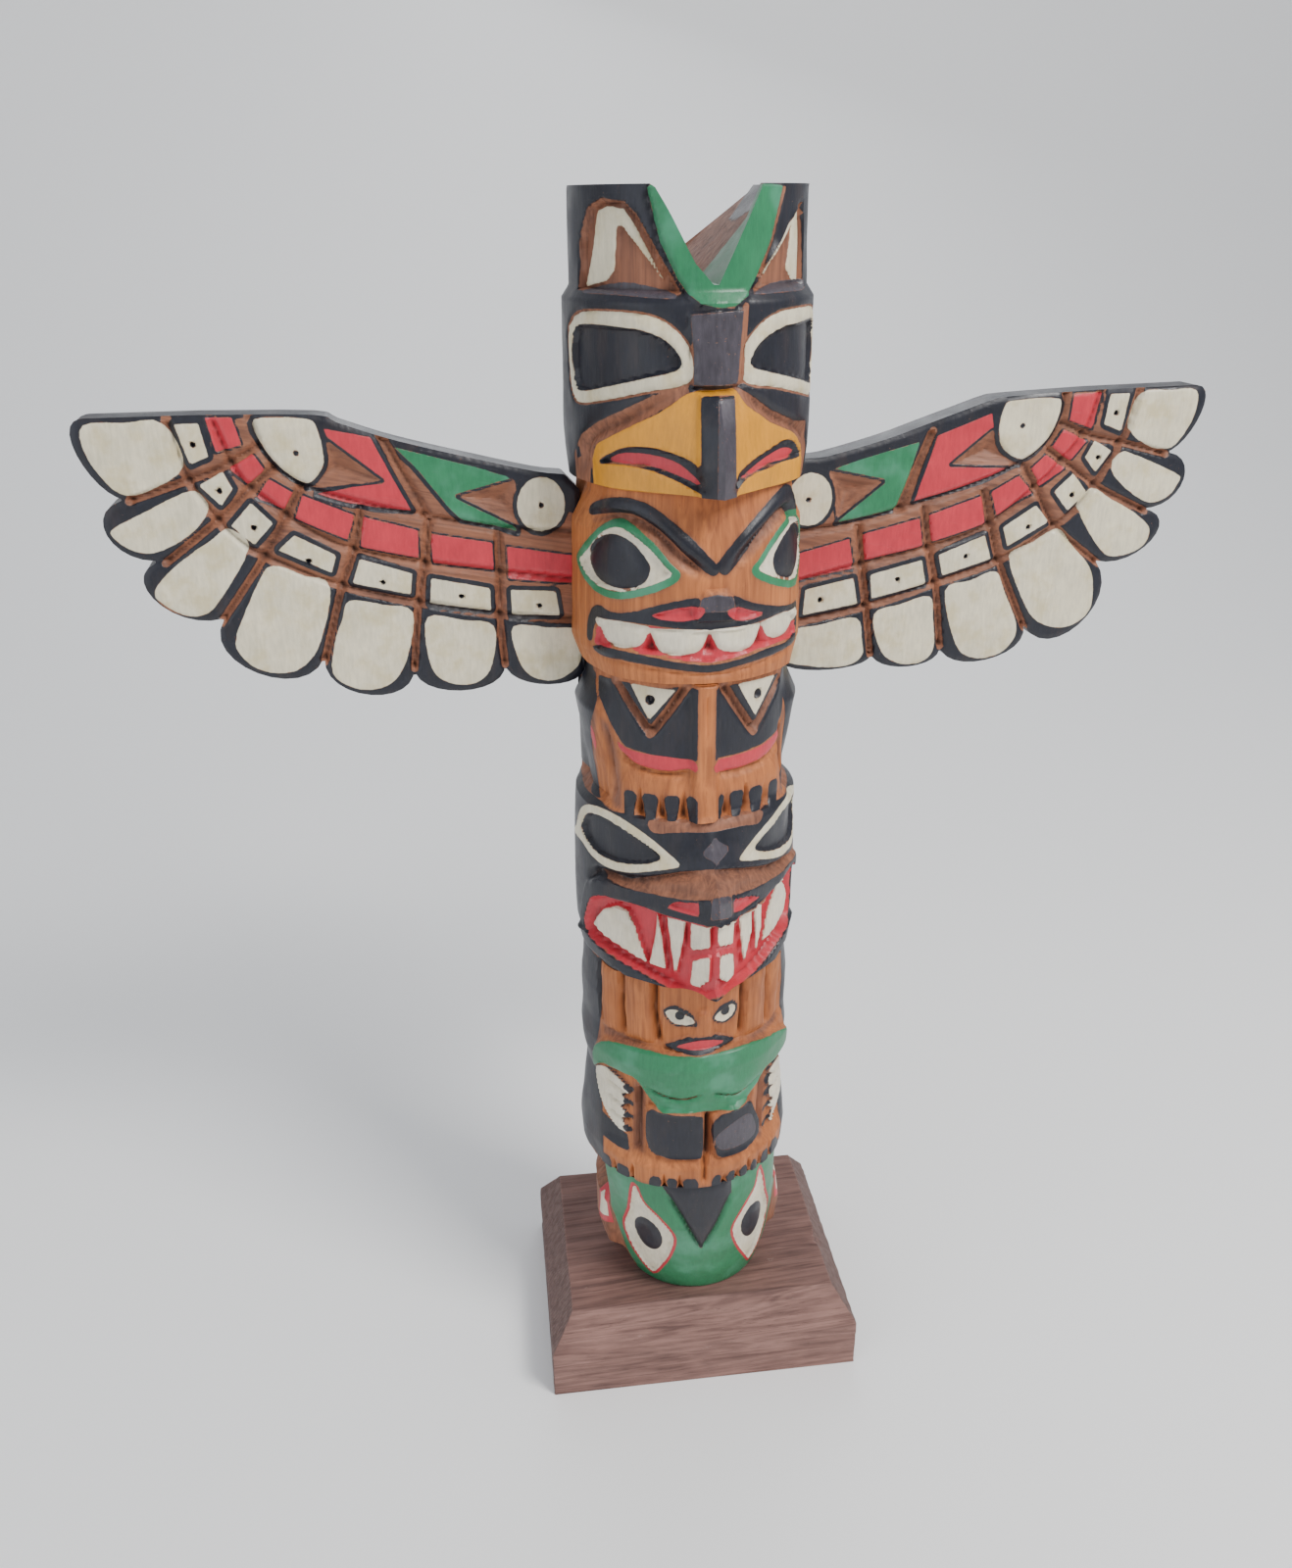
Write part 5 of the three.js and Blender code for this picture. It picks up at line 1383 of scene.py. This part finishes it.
def painted_wood(name, groups, colours, grain_turn=(0, 0, 0)):
    wood, coat, brush, grime_and_shade = groups
    material, n, shader, place = new_material(name, colours.cedar)
    grain_place = n.stretched(place, (1, 1, 1), grain_turn)
    rub_dirt_and_shade = use(n, grime_and_shade, Crisp=attribute(n, "crisp"), Place=place)
    dirt_and_shade, rub = rub_dirt_and_shade.outputs["Dirt and shade"], rub_dirt_and_shade.outputs["Rub"]
    plain = use(n, wood, Place=grain_place, Light=(*colours.stained, 1), Dark=(*colours.stained_dark, 1),
        Grain=1.0, Stain=0.9)
    amber = use(n, wood, Place=grain_place, Light=(*colours.cedar, 1), Dark=(*colours.cedar_dark, 1),
        Grain=0.9, Stain=0.8)
    warm = n.remap(attribute(n, "paint_amber"), -1.5, 1.5)
    colour = n.mix(warm, plain.outputs["Color"], amber.outputs["Color"])
    colour = n.mix(n.math("MULTIPLY", rub, 0.3), colour, (*colours.rubbed, 1))
    covered = None
    wear = n.math("MULTIPLY", rub, 0.2)
    wear_of = {"black": 0.16, "worn_grey_highlight": 0.2, "cream": 0.12, "white": 0.1}
    strokes = None
    for paint in ("black", "worn_grey_highlight", "green", "red", "ochre", "cream", "white"):
        brushed = use(n, brush, Place=place, Colour=(*getattr(colours, paint), 1),
            Thin=0.3 if paint in ("black", "worn_grey_highlight") else 0.14)
        strokes = brushed
        cover = use(n, coat, Inside_mm=attribute(n, "paint_" + paint), Place=place, Waver=0.3,
                    Wear=n.math("ADD", wear, wear_of.get(paint, 0.08) - 0.08)).outputs["Cover"]
        tint = brushed.outputs["Color"]
        if paint in ("cream", "white"):
            cloud = n.remap(n.noise(place, 90, 4, 0.65), 0.45, 0.66)
            tint = n.mix(n.math("MULTIPLY", cloud, 0.5 if paint == "cream" else 0.22),
                tint, (*colours.yellowed, 1))
        elif paint == "black":
            sheen = n.remap(n.noise(n.stretched(place, (1, 1, 0.3)), 130, 4, 0.6), 0.5, 0.72)
            tint = n.mix(n.math("MULTIPLY", sheen, 0.35), tint, (*colours.black_worn, 1))
        elif paint == "green":
            cloud = n.remap(n.noise(place, 60, 3, 0.6), 0.45, 0.68)
            tint = n.mix(n.math("MULTIPLY", cloud, 0.45), tint, (*colours.green_pale, 1))
        colour = n.mix(cover, colour, tint)
        covered = cover if covered is None else n.math("MAXIMUM", covered, cover)
    # painted shade and dirt: cuts and hollows are darkened towards one dark colour, by how far the surface
    # dips below its neighbours
    colour = n.mix(n.math("MULTIPLY", dirt_and_shade, 0.8), colour, (*colours.grime_and_shade, 1))
    n.feed(shader.inputs["Base Color"], colour)
    gloss = n.math("ADD", 0.4, strokes.outputs["Roughness"])
    rough = n.add("Mix", data_type="FLOAT")
    n.feed(rough.inputs[0], covered)
    n.feed(rough.inputs[2], plain.outputs["Roughness"])
    n.feed(rough.inputs[3], gloss)
    n.feed(shader.inputs["Roughness"], n.math("ADD", rough.outputs[0], n.math("MULTIPLY", dirt_and_shade, 0.2)))
    shader.inputs["IOR"].default_value = 1.48
    relief = n.math("ADD", n.math("MULTIPLY", plain.outputs["Height"], n.math("SUBTRACT",
        1.0, n.math("MULTIPLY", covered, 0.55))),
                    n.math("MULTIPLY", n.math("MULTIPLY", strokes.outputs["Height"], covered), 0.5))
    relief = n.math("ADD", relief, n.math("MULTIPLY", covered, 0.5))
    bump = n.add("Bump")
    bump.inputs["Strength"].default_value = 0.55
    bump.inputs["Distance"].default_value = 0.00028
    n.feed(bump.inputs["Height"], relief)
    n.feed(shader.inputs["Normal"], bump.outputs["Normal"])
    return material


def sawn_wood(name, groups, colours):
    wood, _, _, grime_and_shade = groups
    material, n, shader, place = new_material(name, colours.plinth)
    along = n.stretched(place, (1, 1, 1), (0, math.radians(90), math.radians(3.7)))
    split = n.add("SeparateXYZ")
    n.feed(split.inputs[0], n.add("NewGeometry").outputs["Normal"])
    end_grain = n.remap(n.math("ABSOLUTE", split.outputs[0]), 0.5, 0.75)
    up = n.remap(split.outputs[2], 0.8, 0.97)
    flat = use(n, wood, Place=along, Light=(*colours.plinth, 1), Dark=(*colours.plinth_dark, 1),
        Grain=1.25, Stain=0.9)
    # painted shade: faces that point up are darkened by the plinth top colour
    colour = n.mix(n.math("MULTIPLY", up, 0.55), flat.outputs["Color"], (*colours.plinth_top_shade, 1), "MULTIPLY")
    saw = n.stretched(place, (1, 0.25, 0.9), (0.3, 0, 0.5))
    marks = n.remap(n.math("SINE", n.math("ADD", n.math("MULTIPLY", n.noise(saw, 14, 2, 0.5), 12.0),
        n.math("MULTIPLY", split_axis(n, place, 1), 3300.0))), -0.6, 1.0)
    rings = n.noise(n.stretched(place, (0.12, 1, 1)), 320, 4, 0.6, 0.8)
    ends = n.mix(n.remap(rings, 0.35, 0.65), (*colours.plinth_end, 1), (*colours.plinth_dark, 1))
    ends = n.mix(n.math("MULTIPLY", marks, 0.4), ends, (*colours.plinth_end_dark, 1))
    colour = n.mix(end_grain, colour, ends)
    rub_dirt_and_shade = use(n, grime_and_shade, Crisp=attribute(n, "crisp"), Place=place)
    colour = n.mix(n.math("MULTIPLY", rub_dirt_and_shade.outputs["Rub"], 0.45), colour, (*colours.plinth_pale, 1))
    scuff = n.remap(n.noise(n.stretched(place, (0.35, 1, 1)), 260, 4, 0.75), 0.66, 0.78)
    colour = n.mix(n.math("MULTIPLY", scuff, 0.5), colour, (*colours.plinth_pale, 1))
    n.feed(shader.inputs["Base Color"], colour)
    n.feed(shader.inputs["Roughness"], n.math("ADD", flat.outputs["Roughness"], 0.14))
    bump = n.add("Bump")
    bump.inputs["Strength"].default_value = 0.7
    bump.inputs["Distance"].default_value = 0.0004
    height = n.math("ADD", n.math("MULTIPLY", flat.outputs["Height"], 1.0), n.math("MULTIPLY",
        n.math("MULTIPLY", marks, end_grain), -0.6))
    n.feed(bump.inputs["Height"], height)
    n.feed(shader.inputs["Normal"], bump.outputs["Normal"])
    return material


def split_axis(n, vector, axis):
    node = n.add("SeparateXYZ")
    n.feed(node.inputs[0], vector)
    return node.outputs[axis]


# Settings ----------------------------------------------------------------------------------------


def tone(name, description, value):
    return FloatVectorProperty(name=name, description=description, default=value,
        size=3, subtype="COLOR", min=0, max=1)


class TotemColours(bpy.types.PropertyGroup):
    """Woods and paints"""

    black: tone("Black", "Blue-black paint of heads, brows and outlines", (0.009, 0.01, 0.017))
    black_worn: tone("Worn black", "Black paint where it is thin and rubbed", (0.045, 0.03, 0.028))
    # painted highlight: grey standing in for light caught on the black of noses, ridges, the right knee and
    # the ear ledges, on paint partly worn there
    worn_grey_highlight: tone("Worn grey highlight", "Greyed black on noses and ledges", (0.055, 0.048, 0.06))
    green: tone("Green", "Paint of the V, eye rims, arms and lowest head", (0.02, 0.17, 0.07))
    green_pale: tone("Chalky green", "Green where it has weathered", (0.09, 0.32, 0.2))
    red: tone("Red", "Paint of mouths, nostrils and wing cells", (0.5, 0.03, 0.045))
    ochre: tone("Ochre", "Paint of the beak", (0.6, 0.25, 0.012))
    cream: tone("Cream", "Paint of eye bands, ears and feathers", (0.66, 0.6, 0.44))
    white: tone("White", "Paint of teeth, eyes and hands", (0.7, 0.64, 0.5))
    yellowed: tone("Yellowed paint", "Stains in the cream and white", (0.52, 0.42, 0.2))
    cedar: tone("Cedar", "Varnished light wood", (0.58, 0.19, 0.05))
    cedar_dark: tone("Cedar grain", "Grain lines of the varnished wood", (0.2, 0.055, 0.018))
    stained: tone("Stained cedar", "Darker bare wood between painted parts", (0.34, 0.13, 0.065))
    stained_dark: tone("Stained grain", "Grain lines of the darker wood", (0.09, 0.035, 0.022))
    rubbed: tone("Rubbed wood", "Edges polished by handling", (0.55, 0.25, 0.12))
    # the dark of the cuts: real dirt and painted shade together
    grime_and_shade: tone("Grime and shade", "Dirt in the cuts", (0.03, 0.014, 0.01))
    plinth: tone("Plinth", "Weathered face of the plinth", (0.3, 0.16, 0.13))
    plinth_dark: tone("Plinth grain", "Its grain lines", (0.1, 0.05, 0.042))
    # painted shade on the upper face of the plinth
    plinth_top_shade: tone("Plinth top shade", "Darkening of its upper face", (0.55, 0.5, 0.5))
    plinth_end: tone("End grain", "Sawn ends of the plinth", (0.17, 0.1, 0.085))
    plinth_end_dark: tone("Saw marks", "Dark side of the saw marks", (0.07, 0.04, 0.036))
    plinth_pale: tone("Plinth scuffs", "Pale scuffs and edges", (0.45, 0.3, 0.26))


class TotemPlinth(bpy.types.PropertyGroup):
    """Sizes of the plinth"""

    width: FloatProperty(name="Width", description="Across the front", default=0.132, min=0.05, unit="LENGTH")
    depth: FloatProperty(name="Depth", description="From front to back", default=0.103,
        min=0.05, unit="LENGTH")
    wall: FloatProperty(name="Wall", description="Height of the upright sides", default=0.0228,
        min=0.005, unit="LENGTH")
    bevel: FloatProperty(name="Bevel", description="How far the sloping edge draws in",
        default=0.0096, min=0, unit="LENGTH")
    turn_degrees: FloatProperty(name="Turn", description="Plinth against pole, in degrees",
        default=-3.7, min=-10, max=10)


class TotemStage(bpy.types.PropertyGroup):
    """Camera and light"""

    lens: FloatProperty(name="Lens", description="Focal length in mm", default=29.45, min=10)
    key: FloatProperty(name="Key light", description="Power of the large soft light",
        default=20.0, min=0, unit="POWER")
    fill: FloatProperty(name="Fill light", description="Power of the light from the other side",
        default=5.0, min=0, unit="POWER")
    floor: tone("Floor", "Colour of the floor", (0.92, 0.92, 0.91))


# Operators ---------------------------------------------------------------------------------------


class TOTEM_OT_materials(bpy.types.Operator):
    """Mix the painted cedar and the bare wood of the plinth"""

    bl_idname = "totem.materials"
    bl_label = "Wood and Paint"

    def execute(self, context):
        colours = context.scene.totem_colours
        groups = (wood_group(), coat_group(), brush_group(), shade_and_grime_group())
        painted_wood("Painted cedar", groups, colours)
        painted_wood("Painted cedar boards", groups, colours, (0, math.radians(78), 0))
        sawn_wood("Weathered wood", groups, colours)
        return {"FINISHED"}


class TOTEM_OT_pole(bpy.types.Operator):
    """Carve and paint the pole with all its figures"""

    bl_idname = "totem.pole"
    bl_label = "Pole"

    def execute(self, context):
        make_pole(bpy.data.materials["Painted cedar"])
        return {"FINISHED"}


class TOTEM_OT_wings(bpy.types.Operator):
    """Carve and paint the two feathered wings"""

    bl_idname = "totem.wings"
    bl_label = "Wings"

    def execute(self, context):
        make_wing(LEFT, "wing_left", bpy.data.materials["Painted cedar boards"])
        make_wing(RIGHT, "wing_right", bpy.data.materials["Painted cedar boards"])
        return {"FINISHED"}


class TOTEM_OT_plinth(bpy.types.Operator):
    """Saw the plinth"""

    bl_idname = "totem.plinth"
    bl_label = "Plinth"

    def execute(self, context):
        make_plinth(context.scene.totem_plinth, bpy.data.materials["Weathered wood"])
        return {"FINISHED"}


class TOTEM_OT_stage(bpy.types.Operator):
    """Set the camera, the soft lights and the pale floor"""

    bl_idname = "totem.stage"
    bl_label = "Stage"

    def execute(self, context):
        stage = context.scene.totem_stage
        bm = bmesh.new()
        bmesh.ops.create_grid(bm, x_segments=1, y_segments=60, size=4)
        for v in bm.verts:  # the floor sweeps up behind into a backdrop
            bend = min(max(v.co.y - 0.7, 0) / 0.8, math.pi / 2)
            rise = max(v.co.y - 0.7 - 0.8 * math.pi / 2, 0)
            if v.co.y > 0.7:
                v.co.y, v.co.z = 0.7 + 0.8 * math.sin(bend), 0.8 * (1 - math.cos(bend)) + rise
        for face in bm.faces:
            face.smooth = True
        floor = mesh_object("floor", bm)
        material, _, shader, _ = new_material("Studio floor", stage.floor)
        shader.inputs["Base Color"].default_value = (*stage.floor, 1)
        shader.inputs["Roughness"].default_value = 0.9
        floor.data.materials.append(material)
        camera = bpy.data.objects.new("camera", bpy.data.cameras.new("camera"))
        context.scene.collection.objects.link(camera)
        camera.data.lens = stage.lens
        camera.data.sensor_width = 36
        camera.data.clip_start = 0.01
        camera.location = Vector(EYE + AXIS) * MM
        camera.rotation_euler = [math.radians(v) for v in (65.577, 0.396, -10.977)]
        context.scene.camera = camera
        middle = Vector((AXIS[0] * MM, AXIS[1] * MM, 0.25))
        for name, power, size, place, colour in (
                ("key", stage.key, 0.45, (0.6, -0.75, 1.25), (1, 0.98, 0.96)),
                ("fill", stage.fill, 1.1, (-1.1, -0.7, 0.6), (0.93, 0.96, 1)),
                ("back", stage.fill * 0.8, 0.8, (0.3, 1.2, 1.1), (0.92, 0.95, 1))):
            light = bpy.data.lights.new(name, "AREA")
            light.energy, light.size, light.color = power, size, colour
            lamp = bpy.data.objects.new(name, light)
            context.scene.collection.objects.link(lamp)
            lamp.location = place
            lamp.rotation_euler = (middle - Vector(place)).to_track_quat("-Z", "Y").to_euler()
        world = bpy.data.worlds.new("studio")
        context.scene.world = world
        world.use_nodes = True
        world.node_tree.nodes["Background"].inputs[0].default_value = (0.9, 0.93, 1, 1)
        world.node_tree.nodes["Background"].inputs[1].default_value = 0.62
        return {"FINISHED"}


class TOTEM_PT_panel(bpy.types.Panel):
    """Everything that makes up the pole"""

    bl_label = "Totem Pole"
    bl_idname = "TOTEM_PT_panel"
    bl_space_type = "VIEW_3D"
    bl_region_type = "UI"
    bl_category = "Totem Pole"

    def draw(self, context):
        layout = self.layout
        for operator in OPERATORS:
            layout.operator(operator.bl_idname)
        for settings in (context.scene.totem_plinth, context.scene.totem_stage, context.scene.totem_colours):
            box = layout.box()
            for name in settings.__annotations__:
                box.prop(settings, name)


OPERATORS = (TOTEM_OT_stage, TOTEM_OT_materials, TOTEM_OT_plinth, TOTEM_OT_pole, TOTEM_OT_wings)
CLASSES = (TotemColours, TotemPlinth, TotemStage, *OPERATORS, TOTEM_PT_panel)


def register():
    for item in CLASSES:
        bpy.utils.register_class(item)
    bpy.types.Scene.totem_colours = PointerProperty(type=TotemColours)
    bpy.types.Scene.totem_plinth = PointerProperty(type=TotemPlinth)
    bpy.types.Scene.totem_stage = PointerProperty(type=TotemStage)


def unregister():
    del bpy.types.Scene.totem_stage, bpy.types.Scene.totem_plinth, bpy.types.Scene.totem_colours
    for item in reversed(CLASSES):
        bpy.utils.unregister_class(item)


def main():
    register()
    bpy.ops.totem.stage()
    bpy.ops.totem.materials()
    bpy.ops.totem.plinth()
    bpy.ops.totem.pole()
    bpy.ops.totem.wings()


if __name__ == "__main__":
    main()
